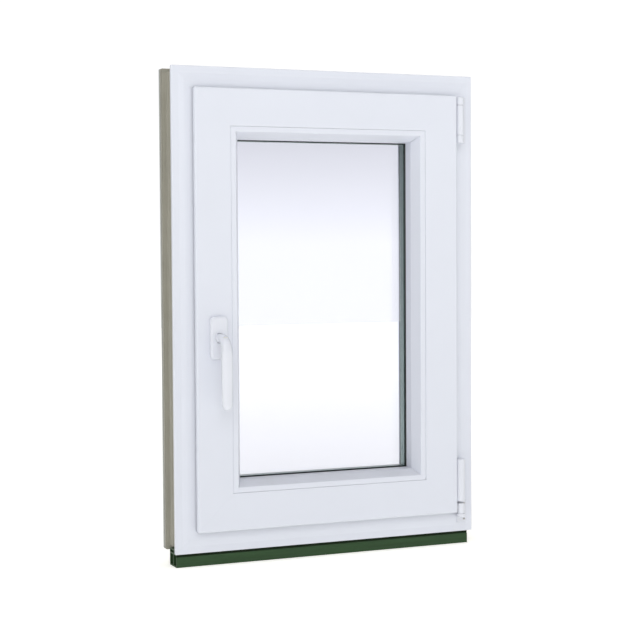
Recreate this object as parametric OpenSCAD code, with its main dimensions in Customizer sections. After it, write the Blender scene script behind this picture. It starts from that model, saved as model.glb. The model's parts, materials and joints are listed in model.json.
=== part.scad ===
// Tilt-and-turn window: welded hollow frame, overlapping sash, double glazing,
// one lever handle, locking gear, scissor stay and corner hinges.
// Origin: middle of the base profile's underside. +X to the hinge side, +Y outdoors, +Z up.

/* [Overall] */
// Outside width of the frame
frame_w = 600; // [500:1:800]
// Outside height of the frame
frame_h = 870; // [720:1:1100]
// Depth of the frame from room face to outdoor face
frame_d = 76; // [76:1:92]

/* [Frame profile] */
// Thickness of the flange at the room face
flange_t = 8; // [7:0.5:9]
// Depth of the fixing channel along the outer edge
channel_u = 8.7; // [7:0.1:9.5]
// Width of the fixing channel, flange to back lip
channel_w = 49; // [46:1:50]
// Step of the outer strip of the room face
face_step = 1.5; // [0.5:0.1:2.5]
// Height of the frame profile up to the rebate
body_u = 46; // [44:1:48]
// Height of the outdoor leg of the frame profile
leg_u = 70; // [67:1:72]
// Thickness of the outdoor leg
leg_t = 10; // [8:0.5:12]
// Wall between hollow chambers
web = 2.5; // [2:0.1:3]
// Outer wall of the hollow members
skin = 3; // [2.5:0.1:3.5]

/* [Sash profile] */
// Distance of the sash's edge from the frame's edge
sash_u = 38; // [37:0.5:39]
// How far the sash face stands in front of the frame face
sash_proud = 13; // [12:0.5:15]
// Thickness of the overlapping sash flange
overlap_t = 9; // [8:0.5:9]
// Air between the sash body and the frame body
rebate_gap = 12; // [12:0.5:13]
// Width of the visible sash face
sash_face = 68; // [66:0.1:82]
// Width of the gear groove
groove_w = 16; // [16:0.5:18]
// Depth of the gear groove
groove_u = 8; // [8:0.5:9]
// Thickness of the lip that the glass rests against outdoors
glass_lip_t = 6; // [5:0.5:8]
// Distance of the groove's middle from the frame's room face
groove_v = 17; // [16:0.5:18]
// Corner chamfer of the sash
corner_cut = 3; // [2:0.5:5]

/* [Glazing] */
// Thickness of one glass pane
pane_t = 4; // [4:1:6]
// Gap between the panes
pane_gap = 16; // [13:0.1:16]
// Thickness of each glazing gasket
gasket_t = 3; // [2:0.5:3]
// Width of the glazing bead
bead_u = 22; // [17:1:26]
// Width of the flat front of the bead
bead_flat = 9.5; // [8:0.5:12]
// Play between the glass edge and the sash
glass_play = 4; // [3:0.5:5]
// Width of the spacer bar
spacer_u = 8; // [6:0.5:10]
// Width of the edge seal
seal_u = 12; // [4:0.5:14]

/* [Base profile] */
// Height of the base profile below the frame
base_show = 24; // [20:1:40]
// Depth of the base profile
base_d = 38.5; // [34:0.5:42]
// Distance of the base profile from the room face
base_v = 5; // [3:0.5:6]
// Cut back of the base profile at the handle side
base_inset_left = 3; // [1:1:12]
// Cut back of the base profile at the hinge side
base_inset_right = 9; // [1:1:12]
// Wall of the base profile
base_wall = 2.2; // [2:0.1:3]

/* [Hinges] */
// Distance of the turning axis from the frame's edge
axis_u = 30; // [29:0.5:30]
// Distance of the turning axis in front of the frame face
axis_v = 9; // [9:0.1:9.5]
// Radius of the hinge covers
cover_r = 7.5; // [7:0.1:7.5]
// Wall of the hinge covers
cover_wall = 1; // [0.8:0.1:1.5]
// Radius of the upper hinge pin
pin_r = 3; // [2.5:0.1:3.5]
// Height of the upper hinge's middle knuckle
knuckle_h = 56; // [50:1:60]
// Height of the upper hinge's outer knuckles
end_knuckle_h = 15; // [12:1:16]
// Distance of the middle knuckle's top from the frame's top edge
knuckle_drop = 56; // [54:1:58]
// Height of the tilting axis above the frame's lower edge
tilt_u = 48; // [47:0.5:49]
// Radius of the tilting pin
tilt_pin_r = 2; // [1.8:0.1:2.2]
// Height of the lower hinge's white cover
low_cover_h = 81; // [60:1:90]
// Length of the scissor stay, axis to stud
stay_len = 330; // [280:5:350]
// Width of the stay arm
stay_w = 15; // [12:1:15]
// Thickness of the stay arm
stay_t = 2.5; // [2:0.1:2.5]

/* [Locking gear] */
// Distance of the handle's axis from the frame's edge
spindle_u = 79; // [77:0.5:80]
// Height of the handle's axis above the frame's lower edge
spindle_h = 387; // [300:1:500]
// Across flats of the spindle
spindle_a = 7; // [6:0.5:8]
// Teeth of the pinion
pinion_teeth = 12; // [12:1:12]
// Drive rod travel for one full turn of the handle
travel_per_turn = 72; // [68:1:72]
// Radius of the locking cams
cam_r = 4; // [3.5:0.5:4]
// Width of a drive rod
rod_w = 11.6; // [10:0.2:12]
// Thickness of a drive rod
rod_t = 2.4; // [2:0.1:2.5]
// Thickness of a face plate
plate_t = 2.4; // [2:0.1:2.5]

/* [Handle] */
// Width of the rosette
rosette_w = 33; // [28:1:34]
// Height of the rosette
rosette_h = 77; // [70:1:90]
// Thickness of the rosette
rosette_t = 9; // [8:0.5:11]
// Radius of the handle neck
neck_r = 8.5; // [7:0.5:9]
// Distance of the grip's front from the sash face
grip_stand = 51; // [44:1:56]
// Thickness of the grip
grip_t = 12; // [10:1:14]
// Width of the grip
grip_w = 20; // [16:1:22]
// Length of the grip below the handle's axis
grip_len = 125; // [100:1:140]

/* [Fits] */
// Radial clearance of a running fit
run_fit = 0.05; // [0.02:0.01:0.1]
// Clearance of parts that lie beside each other
loose = 0.3; // [0.2:0.05:0.5]
// Relief of the overlap gasket in front of the frame face
seal_relief = 1.5; // [1.2:0.1:2]

/* [Hidden] */
$fn = 64;
far = 400;                                        // longer than any cut goes
white = "whitesmoke";
steel = "silver";
dark = [0.12, 0.12, 0.12];

sash_body_u = body_u + rebate_gap;                // outer face of the sash body
sash_back = frame_d - leg_t - 3;                  // outdoor face of the sash
bead_line = sash_u + sash_face;                   // joint of sash and bead
sight_u = bead_line + bead_u;                     // edge of the visible glass
bead_wall_v = 9;                                  // front of the bead's steep wall by the glass
glass_u = bead_line + glass_play;                 // edge of the glass unit
lip_v = sash_back - glass_lip_t;                       // room side of the sash's outdoor lip
outer_room_v = sash_back - 16;                    // room side of the sash's outer chamber
pane_out_v = lip_v - gasket_t - pane_t;           // room side of the outdoor pane
spacer_v = pane_out_v - pane_gap;                 // room side of the spacer
pane_in_v = spacer_v - pane_t;                    // room side of the room pane
bead_back = pane_in_v - gasket_t;                 // back of the bead
groove_a = groove_v - groove_w / 2;
groove_b = groove_v + groove_w / 2;
groove_floor = sash_body_u + groove_u;
chamber_u = groove_floor + skin;                  // gear chamber's outer side
channel_b = flange_t + channel_w;                 // channel side of the back lip
lip_u = 1;                                        // set back of the outdoor lip
strip_u = [13, 24];                               // outer strip of the room face and the end of its slope
rib_v = [40, 48];                                 // fixing rib in the channel
rib_h = 1.2;
lip_groove_v = [66, 68];                          // marking groove in the outdoor lip
lip_groove_h = 2;
leg_fillet = 3;                                   // slope where the outdoor leg meets the rebate
steel_v = [13.5, 40];                             // chamber that holds the reinforcement
steel_t = 2;                                      // wall of the frame's reinforcement
sash_steel_t = 1.5;                               // wall of the sash's reinforcement
key_v = [3, 8];                                   // groove that the bead snaps into
key_u = 5;
key_play = 0.2;
joint_gap = 0.15;                                 // fine joint between bead and sash
edge_cut = 1.2;                                   // cut along the sash's outer edge
sash_floor = bead_line - 8;                       // inner side of the sash chambers

axis_x = frame_w / 2 - axis_u;                    // turning axis
foot = -frame_h / 2;                              // frame's lower edge
head = frame_h / 2;                               // frame's upper edge
tilt_z = foot + tilt_u;
knuckle_top = head - knuckle_drop;
knuckle_low = knuckle_top - knuckle_h;
arm_u = sash_body_u - 4 - stay_t;                 // upper face of the stay arm
arm_z = head - arm_u - stay_t;                    // lower face of the stay arm
leaf_v = -3.4;                                    // room side of the stay's leaf
leaf_t = 2;
plate_hinge_t = 1.2;                              // hinge plates on the frame face
stud_r = 3;
stud_len = 10;
slot_play = 1.2;                                  // play of the stud across its slot
stud_x = axis_x - stay_len;
slot_run = 14;                                    // way of the stud along its slot

spindle_x = -frame_w / 2 + spindle_u;
spindle_z = foot + spindle_h;
pitch_r = travel_per_turn / (2 * PI);
tooth_pitch = travel_per_turn / pinion_teeth;
rod_u = sash_body_u + plate_t + loose;            // outer face of a drive rod
cam_tip_u = body_u + 4;
rod_travel = travel_per_turn / 2;
case_h = 2 * (rod_travel + 14);
case_end_u = spindle_u + 15;
case_a = groove_v - 7.3;
case_b = groove_v + 7.3;
case_wall = 1.3;
rosette_screw_step = 21.5;
side_rod_low = foot + 120;
side_rod_high = head - 120;
side_cams = [foot + 175, head - 190];
top_rod_x = [-frame_w / 2 + 100, -frame_w / 2 + 205];
top_cam_x = -frame_w / 2 + 170;
low_rod_x = [-frame_w / 2 + 100, -frame_w / 2 + 260];
low_cam_x = -frame_w / 2 + 150;
striker_t = 2.4;
striker_w = 18;
lip_t = 2.6;
lip_len = 18;
lip_gap = 1.5;                                    // free way between a cam and the lip beside it
striker_len = 58;
striker_over = 8;                                 // reach of a striker past its cam
screw_r = 1.8;
striker_screw_len = 14;
hinge_screw_len = 16;

drain_x = frame_w / 2 - 130;
drain_z = foot + 24.5;
drain_slot = [24, 5];
drain_cap = [36, 14, 3];

hinge_plate_right = frame_w / 2 - 14;
hinge_plate_left = axis_x - 4;
hinge_screw_x = hinge_plate_right - 5;
upper_screw_z = [knuckle_low - 8, knuckle_top + 8];
lower_screw_z = [foot + 24, foot + 54];
low_lug = [foot + 30, foot + 36];
low_pin_top = foot + 42;
post_z = [foot + 36 + loose, foot + 56];
tilt_pin_len = 19.5;
band_x = [frame_w / 2 - sash_u - 18, frame_w / 2 - sash_u];
band_y = [-sash_proud + 1.6, -sash_proud + overlap_t - 0.8];
band_z = [tilt_z - 6, tilt_z + 6];
low_cover_z = tilt_z + 12;
leaf_x = [axis_x - 21.5, axis_x - 2];
stay_turn_x = axis_x - 21.5 + stay_t;

block_end = 70;                                   // setting block's middle from the glass corner
block_len = 80;
corner_reach = 96;                                // where the corner drives end
corner_gap = 0.5;                                 // joint between corner drive and face plate

hub_r = 7;
pinion_a = case_a + case_wall + loose;
pinion_b = case_b - case_wall - loose;
tooth_out = 1.4;
tooth_in = 1.9;
rack_root_u = spindle_u - pitch_r - tooth_out - 0.4;
rack_tooth_h = 2.8;
rack_teeth = [-2, 7];                             // first and last rack tooth, from the handle's axis
rosette_wall = 1.6;
rosette_screw_r = 2.5;
rosette_head_r = 4.5;
grip_round = 9;

// ---------- shared building blocks ----------

// Moves to the window's middle on the frame's room face: X across, Y outdoors, Z up.
module window() translate([0, -frame_d / 2, base_show + frame_h / 2]) children();

// Length of side n and its distance from the middle: 0 bottom, 1 left, 2 top, 3 right.
function side_len(n) = n % 2 == 0 ? frame_w : frame_h;
function side_dist(n) = n % 2 == 0 ? frame_h / 2 : frame_w / 2;

// Turns a bottom side into side n, with its outer edge at height 0.
module side(n) rotate([0, 90 * n, 0]) translate([0, 0, -side_dist(n)]) children();

// Straight bar along X of a section drawn as [v, u], v from the room face, u from the edge.
module bar(len) rotate([90, 0, 90]) linear_extrude(len, center = true) children();

// Keeps what lies between the two 45 degree mitres of side n.
module mitre(n) {
    half = side_len(n) / 2;
    reach = 160;
    intersection() {
        children();
        translate([0, far, 0]) rotate([90, 0, 0]) linear_extrude(2 * far)
            polygon([[-half, 0], [half, 0], [half - reach, reach], [-half + reach, reach]]);
    }
}

module rect(v1, v2, u1, u2) translate([v1, u1]) square([v2 - v1, u2 - u1]);

module block(x1, x2, y1, y2, z1, z2) translate([x1, y1, z1]) cube([x2 - x1, y2 - y1, z2 - z1]);

module mitred_strip(n, v1, v2, u1, u2) side(n) mitre(n) bar(side_len(n)) rect(v1, v2, u1, u2);

module ring(v1, v2, u1, u2) for (n = [0:3]) mitred_strip(n, v1, v2, u1, u2);

// Cylinder along Y from y1 to y2, about x, z.
module rod_y(x, z, r, y1, y2) translate([x, y1, z]) rotate([-90, 0, 0]) cylinder(r = r, h = y2 - y1);

// Cylinder along Z from z1 to z2 about the turning axis.
module on_axis(r, z1, z2) translate([axis_x, -axis_v, z1]) cylinder(r = r, h = z2 - z1);

module round_rect(w, h, r) union() {
    square([w - 2 * r, h], center = true);
    square([w, h - 2 * r], center = true);
    for (x = [-1, 1], z = [-1, 1]) translate([x * (w / 2 - r), z * (h / 2 - r)]) circle(r = r);
}

// Rounded plate in the X-Z plane from y1 to y2.
module plate_y(w, h, r, y1, y2) translate([0, y2, 0]) rotate([90, 0, 0]) linear_extrude(y2 - y1)
    round_rect(w, h, r);

// ---------- frame ----------

module frame_section() difference() {
    polygon([[face_step, 0], [face_step, strip_u[0]], [0, strip_u[1]], [0, body_u],
        [frame_d - leg_t - 2, body_u], [frame_d - leg_t, body_u + leg_fillet], [frame_d - leg_t, leg_u],
        [frame_d, leg_u], [frame_d, lip_u],
        [lip_groove_v[1], lip_u], [lip_groove_v[1], lip_u + lip_groove_h],
        [lip_groove_v[0], lip_u + lip_groove_h], [lip_groove_v[0], lip_u],
        [channel_b, lip_u], [channel_b, channel_u],
        [rib_v[1], channel_u], [rib_v[1], channel_u - rib_h],
        [rib_v[0], channel_u - rib_h], [rib_v[0], channel_u], [flange_t, channel_u], [flange_t, 0]]);
    rect(skin + face_step, steel_v[0] - web, channel_u + skin, body_u - skin);
    rect(steel_v[0], steel_v[1], channel_u + skin, body_u - skin);
    rect(steel_v[1] + web, channel_b - web, channel_u + skin, body_u - skin);
    rect(channel_b + skin, frame_d - skin, lip_u + lip_groove_h + skin, body_u - skin);
    rect(frame_d - leg_t + skin, frame_d - skin, body_u, leg_u - skin);
}

module frame_member(n) color(white) window() difference() {
    side(n) mitre(n) bar(side_len(n)) frame_section();
    if (n == 3) hinge_screw_shanks();
    striker_screw_shanks(n);
    if (n == 0) drain_slots();
}

module frame_bottom() frame_member(0);
module frame_left() frame_member(1);
module frame_top() frame_member(2);
module frame_right() frame_member(3);

// Square tube of wall t that fills a chamber with a little play.
module steel_tube(v1, v2, u1, u2, t) difference() {
    rect(v1 + loose, v2 - loose, u1 + loose, u2 - loose);
    rect(v1 + loose + t, v2 - loose - t, u1 + loose + t, u2 - loose - t);
}

// Galvanised tubes that stiffen the middle chamber of each frame member.
module frame_steel_bars() color(steel) window() for (n = [0:3]) difference() {
    side(n) bar(side_len(n) - 2 * (body_u + 8))
        steel_tube(steel_v[0], steel_v[1], channel_u + skin, body_u - skin, steel_t);
    if (n == 3) hinge_screw_shanks();
    striker_screw_shanks(n);
}

// Seal on the frame's outdoor leg that the sash closes against.
module frame_rebate_gasket() color(dark) window()
    ring(sash_back + loose, frame_d - leg_t, leg_u - 8, leg_u - 1);

module drain_slots() for (s = [-1, 1])
    block(s * drain_x - drain_slot[0] / 2, s * drain_x + drain_slot[0] / 2, frame_d - skin - 1, frame_d + 1,
        drain_z - drain_slot[1] / 2, drain_z + drain_slot[1] / 2);

// Caps over the drainage slots on the outdoor face, each with a tongue in its slot.
module drain_caps() color(white) window() for (s = [-1, 1]) translate([s * drain_x, 0, drain_z]) {
    plate_y(drain_cap[0], drain_cap[1], 4, frame_d, frame_d + drain_cap[2]);
    plate_y(drain_slot[0] - 2 * loose, drain_slot[1] - 2 * loose, 1, frame_d - skin / 2, frame_d + 0.5);
}

// Hollow profile clipped into the frame's lower channel.
module base_section() {
    back = base_v + base_d;
    mid = (base_v + back) / 2;
    difference() {
        union() {
            rect(base_v, back, -base_show, 0);
            rect(flange_t + loose, back, 0, channel_u - 1.2 - loose);
        }
        rect(base_v + base_wall, mid - base_wall / 2, -base_show + base_wall, -base_wall);
        rect(mid + base_wall / 2, back - base_wall, -base_show + base_wall, -base_wall);
        rect(flange_t + loose + base_wall, mid - base_wall / 2, 0, channel_u - 1.2 - loose - base_wall);
        rect(mid + base_wall / 2, back - base_wall, 0, channel_u - 1.2 - loose - base_wall);
    }
}
module base_profile() color("darkgreen") window()
    translate([(base_inset_left - base_inset_right) / 2, 0, foot])
    bar(frame_w - base_inset_left - base_inset_right) base_section();

// ---------- strikers on the frame ----------

// A plate in the rebate of side n, with a lip on the room side that a cam slides behind.
// The plate runs along the side from a to b and the lip from c to d, in the side's own X.
module striker(n, a, b, c, d) side(n) {
    block(a, b, groove_v - striker_w / 2, groove_v + striker_w / 2, body_u, body_u + striker_t);
    block(c, d, groove_v - cam_r - 0.6 - lip_t, groove_v - cam_r - 0.6, body_u + striker_t,
        body_u + 6.5);
}
// Side 1's own X runs down the window and side 2's own X runs to the left.
side_striker_mid = [for (z = side_cams) -z];

// Striker of a cam that rests at p, with its lip just before the cam's place.
module locking_striker(n, p) striker(n, p - striker_len + striker_over, p + striker_over,
    p - cam_r - lip_gap - lip_len, p - cam_r - lip_gap);

module side_strikers() color(steel) window() difference() {
    for (p = side_striker_mid) locking_striker(1, p);
    striker_screw_shanks(1);
}
module top_striker() color(steel) window() difference() {
    locking_striker(2, -top_cam_x);
    striker_screw_shanks(2);
}
module tilt_striker() color(steel) window() difference() {
    striker(0, low_cam_x + 10, low_cam_x + rod_travel + 30,
        low_cam_x + rod_travel - 9, low_cam_x + rod_travel + 9);
    striker_screw_shanks(0);
}

// Places of the striker screws along side n.
function striker_screws_at(n) =
    n == 1 ? [for (p = side_striker_mid, s = [-striker_len + 14, 2]) p + s] :
    n == 2 ? [for (s = [-striker_len + 14, 2]) -top_cam_x + s] :
    n == 0 ? [low_cam_x + 15, low_cam_x + rod_travel + 24] : [];
module striker_screw_shanks(n) side(n) for (x = striker_screws_at(n))
    translate([x, groove_v + 5, body_u - striker_screw_len])
    cylinder(r = screw_r, h = striker_screw_len + striker_t);
module striker_screws() color(steel) window() for (n = [0:2]) {
    striker_screw_shanks(n);
    side(n) for (x = striker_screws_at(n))
        translate([x, groove_v + 5, body_u + striker_t]) cylinder(r = 3.4, h = 1.4);
}

// ---------- hinges ----------

module hinge_screw_shanks() for (z = concat(upper_screw_z, lower_screw_z))
    rod_y(hinge_screw_x, z, screw_r, -plate_hinge_t, hinge_screw_len);
module hinge_screws() color(steel) window() {
    hinge_screw_shanks();
    for (z = concat(upper_screw_z, lower_screw_z))
        rod_y(hinge_screw_x, z, 3.2, -plate_hinge_t - 1.2, -plate_hinge_t);
}

// Knuckle on a hinge plate, from z1 to z2.
module plate_knuckle(z1, z2) {
    on_axis(cover_r - cover_wall - loose, z1, z2);
    block(axis_x - 3, axis_x + 3, -axis_v, -plate_hinge_t, z1, z2);
}
module hinge_plate(z1, z2) block(hinge_plate_left, hinge_plate_right, -plate_hinge_t, 0, z1, z2);

// Frame half of the upper hinge: plate and two outer knuckles.
module upper_hinge_bracket() color(steel) window() difference() {
    union() {
        hinge_plate(knuckle_low - end_knuckle_h, knuckle_top + end_knuckle_h);
        plate_knuckle(knuckle_low - end_knuckle_h + cover_wall, knuckle_low - loose);
        plate_knuckle(knuckle_top + loose, knuckle_top + end_knuckle_h - cover_wall);
    }
    on_axis(pin_r, knuckle_low - end_knuckle_h - 1, knuckle_top + end_knuckle_h + 1);
    hinge_screw_shanks();
}

module upper_hinge_pin() color(steel) window()
    on_axis(pin_r, knuckle_low - end_knuckle_h + cover_wall, knuckle_top + end_knuckle_h - cover_wall);

// Shell over a knuckle, closed at one end and open at the back.
module knuckle_shell(z1, z2, closed_low, closed_high) difference() {
    on_axis(cover_r, z1, z2);
    on_axis(cover_r - cover_wall, z1 + (closed_low ? cover_wall : -1),
            z2 - (closed_high ? cover_wall : -1));
    block(axis_x - 20, axis_x + 20, -axis_v + 4.5, 0, z1 - 1, z2 + 1);
}
module upper_hinge_covers() color(white) window() {
    knuckle_shell(knuckle_low - end_knuckle_h, knuckle_low - loose, true, false);
    knuckle_shell(knuckle_top + loose, knuckle_top + end_knuckle_h, false, true);
}

// Frame half of the lower hinge: plate, lug and upright pin.
module lower_hinge_bracket() color(steel) window() difference() {
    union() {
        hinge_plate(foot + 18, foot + 60);
        on_axis(cover_r, low_lug[0], low_lug[1]);
        block(axis_x - 4, axis_x + 4, -axis_v, -plate_hinge_t, low_lug[0], low_lug[1]);
        on_axis(pin_r, low_lug[1], low_pin_top);
    }
    hinge_screw_shanks();
}

// Post that turns on the upright pin and carries the level tilting pin.
module lower_pivot_post() color(steel) window() {
    difference() {
        on_axis(cover_r - 1, post_z[0], post_z[1]);
        on_axis(pin_r + run_fit, post_z[0] - 1, low_pin_top + loose);
    }
    translate([axis_x - cover_r + 1.5, -axis_v, tilt_z]) rotate([0, -90, 0])
        cylinder(r = tilt_pin_r, h = tilt_pin_len);
}

module band_pocket() block(band_x[0] - loose, frame_w / 2 - sash_u + 1, band_y[0] - 0.1, band_y[1] + 0.1,
    band_z[0] - 0.1, band_z[1] + 0.1);

// Sash half of the lower hinge, with the bore of the tilting pin.
module lower_hinge_band() color(steel) window() difference() {
    block(band_x[0], band_x[1], band_y[0], band_y[1], band_z[0], band_z[1]);
    translate([band_x[1] + 1, -axis_v, tilt_z]) rotate([0, -90, 0])
        cylinder(r = tilt_pin_r + run_fit, h = 40);
}

// White cover of the lower hinge, fixed to the edge of the sash.
module lower_hinge_cover() color(white) window() {
    difference() {
        on_axis(cover_r - 0.3, low_cover_z, low_cover_z + low_cover_h);
        on_axis(cover_r - 2, low_cover_z + 2, low_cover_z + low_cover_h - 2);
    }
    block(frame_w / 2 - sash_u, frame_w / 2 - sash_u + 2.5, -axis_v - 3, -axis_v + 3,
        low_cover_z, low_cover_z + low_cover_h);
}

// ---------- scissor stay ----------

// Leaf beside the middle knuckle, which turns over the sash's top and runs on as the arm.
module stay_arm() color(steel) window() difference() {
    union() {
        on_axis(cover_r - cover_wall - loose, knuckle_low, knuckle_top);
        block(leaf_x[0], leaf_x[1], leaf_v, leaf_v + leaf_t, knuckle_low + 8, knuckle_top - 2);
        block(leaf_x[0], stay_turn_x, leaf_v, groove_v + stay_w / 2, knuckle_top - 24, arm_z + stay_t);
        block(stud_x, stay_turn_x, groove_v - stay_w / 2, groove_v + stay_w / 2, arm_z, arm_z + stay_t);
        translate([stud_x, groove_v, arm_z]) cylinder(r = stay_w / 2, h = stay_t);
    }
    on_axis(pin_r + run_fit, knuckle_low - 1, knuckle_top + 1);
    translate([stud_x, groove_v, arm_z - 1]) cylinder(r = stud_r - 1, h = stay_t + 2);
}

// Riveted stud at the arm's end, which runs in the slot of the top face plate.
module stay_stud() color(steel) window() translate([stud_x, groove_v, 0]) {
    translate([0, 0, arm_z - stud_len]) cylinder(r = stud_r, h = stud_len);
    translate([0, 0, arm_z]) cylinder(r = stud_r - 1, h = stay_t);
}

module stay_knuckle_cover() color(white) window()
    knuckle_shell(knuckle_low, knuckle_top, false, false);

// ---------- sash ----------

module sash_section() difference() {
    polygon([[-sash_proud + edge_cut, sash_u], [-sash_proud + overlap_t, sash_u],
        [-sash_proud + overlap_t, sash_body_u], [groove_a, sash_body_u], [groove_a, groove_floor],
        [groove_b, groove_floor], [groove_b, sash_body_u], [sash_back, sash_body_u],
        [sash_back, sight_u - 2], [sash_back - 3, sight_u + 1], [lip_v, sight_u + 1],
        [lip_v, bead_line], [key_v[1], bead_line], [key_v[1], bead_line - key_u],
        [key_v[0], bead_line - key_u], [key_v[0], bead_line],
        [-sash_proud, bead_line], [-sash_proud, sash_u + edge_cut]]);
    rect(-sash_proud + skin, -web + 0.5, sash_body_u + skin, sash_floor);
    rect(0.5, groove_b + 0.5, chamber_u, sash_floor);
    rect(groove_b + skin, outer_room_v - skin, sash_body_u + skin, sash_floor);
    rect(outer_room_v, sash_back - skin, sash_body_u + skin, sash_floor);
}

module corner_cuts() for (sx = [-1, 1], sz = [-1, 1])
    translate([sx * (frame_w / 2 - sash_u), 0, sz * (frame_h / 2 - sash_u)]) rotate([0, 45, 0])
    cube([corner_cut * sqrt(2), far, corner_cut * sqrt(2)], center = true);

module sash_member(n) color(white) window() difference() {
    side(n) mitre(n) bar(side_len(n)) sash_section();
    corner_cuts();
    if (n == 0 || n == 3) band_pocket();
    if (n == 1) {
        handle_holes();
        block(-frame_w / 2 + sash_body_u, -frame_w / 2 + chamber_u + 1, case_a - loose, case_b + loose,
            spindle_z - case_h / 2 - loose, spindle_z + case_h / 2 + loose);
    }
}
module handle_holes() {
    rod_y(spindle_x, spindle_z, spindle_a, -sash_proud - 1, groove_a);
    for (s = [-1, 1]) rod_y(spindle_x, spindle_z + s * rosette_screw_step, 3, -sash_proud - 1, groove_a);
}

module sash_bottom() sash_member(0);
module sash_left() sash_member(1);
module sash_top() sash_member(2);
module sash_right() sash_member(3);

// Galvanised tubes in the outdoor chamber of each sash member.
module sash_steel_bars() color(steel) window() for (n = [0:3]) side(n)
    bar(side_len(n) - 2 * (bead_line + 4))
    steel_tube(groove_b + skin, outer_room_v - skin, sash_body_u + skin, sash_floor, sash_steel_t);

// Seal on the back of the overlap, notched where the stay's leaf passes.
module sash_overlap_gasket() color(dark) window() difference() {
    ring(-sash_proud + overlap_t, -seal_relief, sash_u + 2, sash_u + 7);
    block(leaf_x[0] - 2, frame_w / 2, -sash_proud + overlap_t, 0, knuckle_low, head);
}

// ---------- glazing ----------

// Bead with a flat front, a long slope towards the glass and a foot that snaps into the key groove.
module bead_section() {
    joint = bead_line + joint_gap;
    front = -sash_proud + 0.6;
    polygon([[front, joint], [key_v[0] + key_play, joint],
        [key_v[0] + key_play, joint - key_u + 1], [key_v[1] - 2 * key_play, joint - key_u + 1],
        [key_v[1] - 2 * key_play, joint], [bead_back, joint], [bead_back, sight_u],
        [bead_wall_v, sight_u - 1.5], [front + 1, bead_line + bead_flat + 1],
        [front, bead_line + bead_flat]]);
}
module bead_member(n) color(white) window() side(n) mitre(n) bar(side_len(n)) bead_section();
module bead_bottom() bead_member(0);
module bead_left() bead_member(1);
module bead_top() bead_member(2);
module bead_right() bead_member(3);

module pane(v)
    block(-frame_w / 2 + glass_u, frame_w / 2 - glass_u, v, v + pane_t, foot + glass_u, head - glass_u);
module room_pane() color("lightcyan", 0.4) window() pane(pane_in_v);
module outdoor_pane() color("lightcyan", 0.4) window() pane(pane_out_v);
module spacer_frame() color("slategray") window()
    ring(spacer_v, pane_out_v, glass_u + seal_u, glass_u + seal_u + spacer_u);
module edge_seal() color(dark) window() ring(spacer_v, pane_out_v, glass_u, glass_u + seal_u);
module bead_gasket() color(dark) window() ring(bead_back, pane_in_v, sight_u - 8, sight_u);
module outdoor_glazing_gasket() color(dark) window() ring(lip_v - gasket_t, lip_v, sight_u - 8, sight_u);

// Packers under, over and beside the glass edge.
module setting_blocks() color(dark) window() for (n = [0:3], s = [-1, 1]) side(n)
    translate([s * (side_len(n) / 2 - glass_u - block_end), 0, 0])
    block(-block_len / 2, block_len / 2, pane_in_v + 1, lip_v - gasket_t - 1, bead_line, glass_u);

// ---------- locking gear on the sash ----------

module face_plate(n, a, b)
    side(n) block(a, b, groove_a + 0.2, groove_b - 0.2, sash_body_u, sash_body_u + plate_t);
// Long hole that a cam travels in, from the rest place to the far end of its way.
module cam_slot(n, from, to) side(n) block(min(from, to) - cam_r - 1, max(from, to) + cam_r + 1,
    groove_v - cam_r - loose, groove_v + cam_r + loose, sash_body_u - 1, sash_body_u + plate_t + 1);

module side_face_plate() color(steel) window() difference() {
    face_plate(1, -head + corner_reach, head - corner_reach);
    for (z = side_cams) cam_slot(1, -z, -z + rod_travel);
}
module top_face_plate() color(steel) window() difference() {
    face_plate(2, -frame_w / 2 + corner_reach, frame_w / 2 - corner_reach);
    cam_slot(2, -top_cam_x, -top_cam_x + rod_travel);
    side(2) block(-stud_x - stud_r - slot_run, -stud_x + stud_r + 1.5, groove_v - stud_r - slot_play,
        groove_v + stud_r + slot_play, sash_body_u - 1, sash_body_u + plate_t + 1);
}
module bottom_face_plate() color(steel) window() difference() {
    face_plate(0, -frame_w / 2 + corner_reach, frame_w / 2 - corner_reach);
    cam_slot(0, low_cam_x, low_cam_x + rod_travel);
}

// Angle pieces that lead the drive round the two handle side corners.
module corner_drives() color(steel) window() {
    near = sash_body_u;
    end = corner_reach - corner_gap;
    for (z = [0, 1]) mirror([0, 0, z]) translate([-frame_w / 2, 0, foot]) {
        block(near, near + plate_t, groove_a + 0.2, groove_b - 0.2, near, end);
        block(near, end, groove_a + 0.2, groove_b - 0.2, near, near + plate_t);
    }
}

// Two cheeks and an end wall that hold the pinion.
module gearbox_case() color(steel) window() {
    x1 = -frame_w / 2 + groove_floor - 1;
    x2 = -frame_w / 2 + case_end_u;
    difference() {
        union() {
            block(x1, x2, case_a, case_a + case_wall, spindle_z - case_h / 2, spindle_z + case_h / 2);
            block(x1, x2, case_b - case_wall, case_b, spindle_z - case_h / 2, spindle_z + case_h / 2);
            block(x2 - case_wall, x2, case_a, case_b, spindle_z - case_h / 2, spindle_z + case_h / 2);
        }
        rod_y(spindle_x, spindle_z, hub_r + run_fit, case_a - 1, case_b + 1);
        for (s = [-1, 1]) rod_y(spindle_x, spindle_z + s * rosette_screw_step, rosette_screw_r,
            case_a - 1, case_a + case_wall + 1);
    }
}

// ---------- handle ----------

module spindle_square(a, y1, y2) block(spindle_x - a / 2, spindle_x + a / 2, y1, y2,
    spindle_z - a / 2, spindle_z + a / 2);

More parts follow.
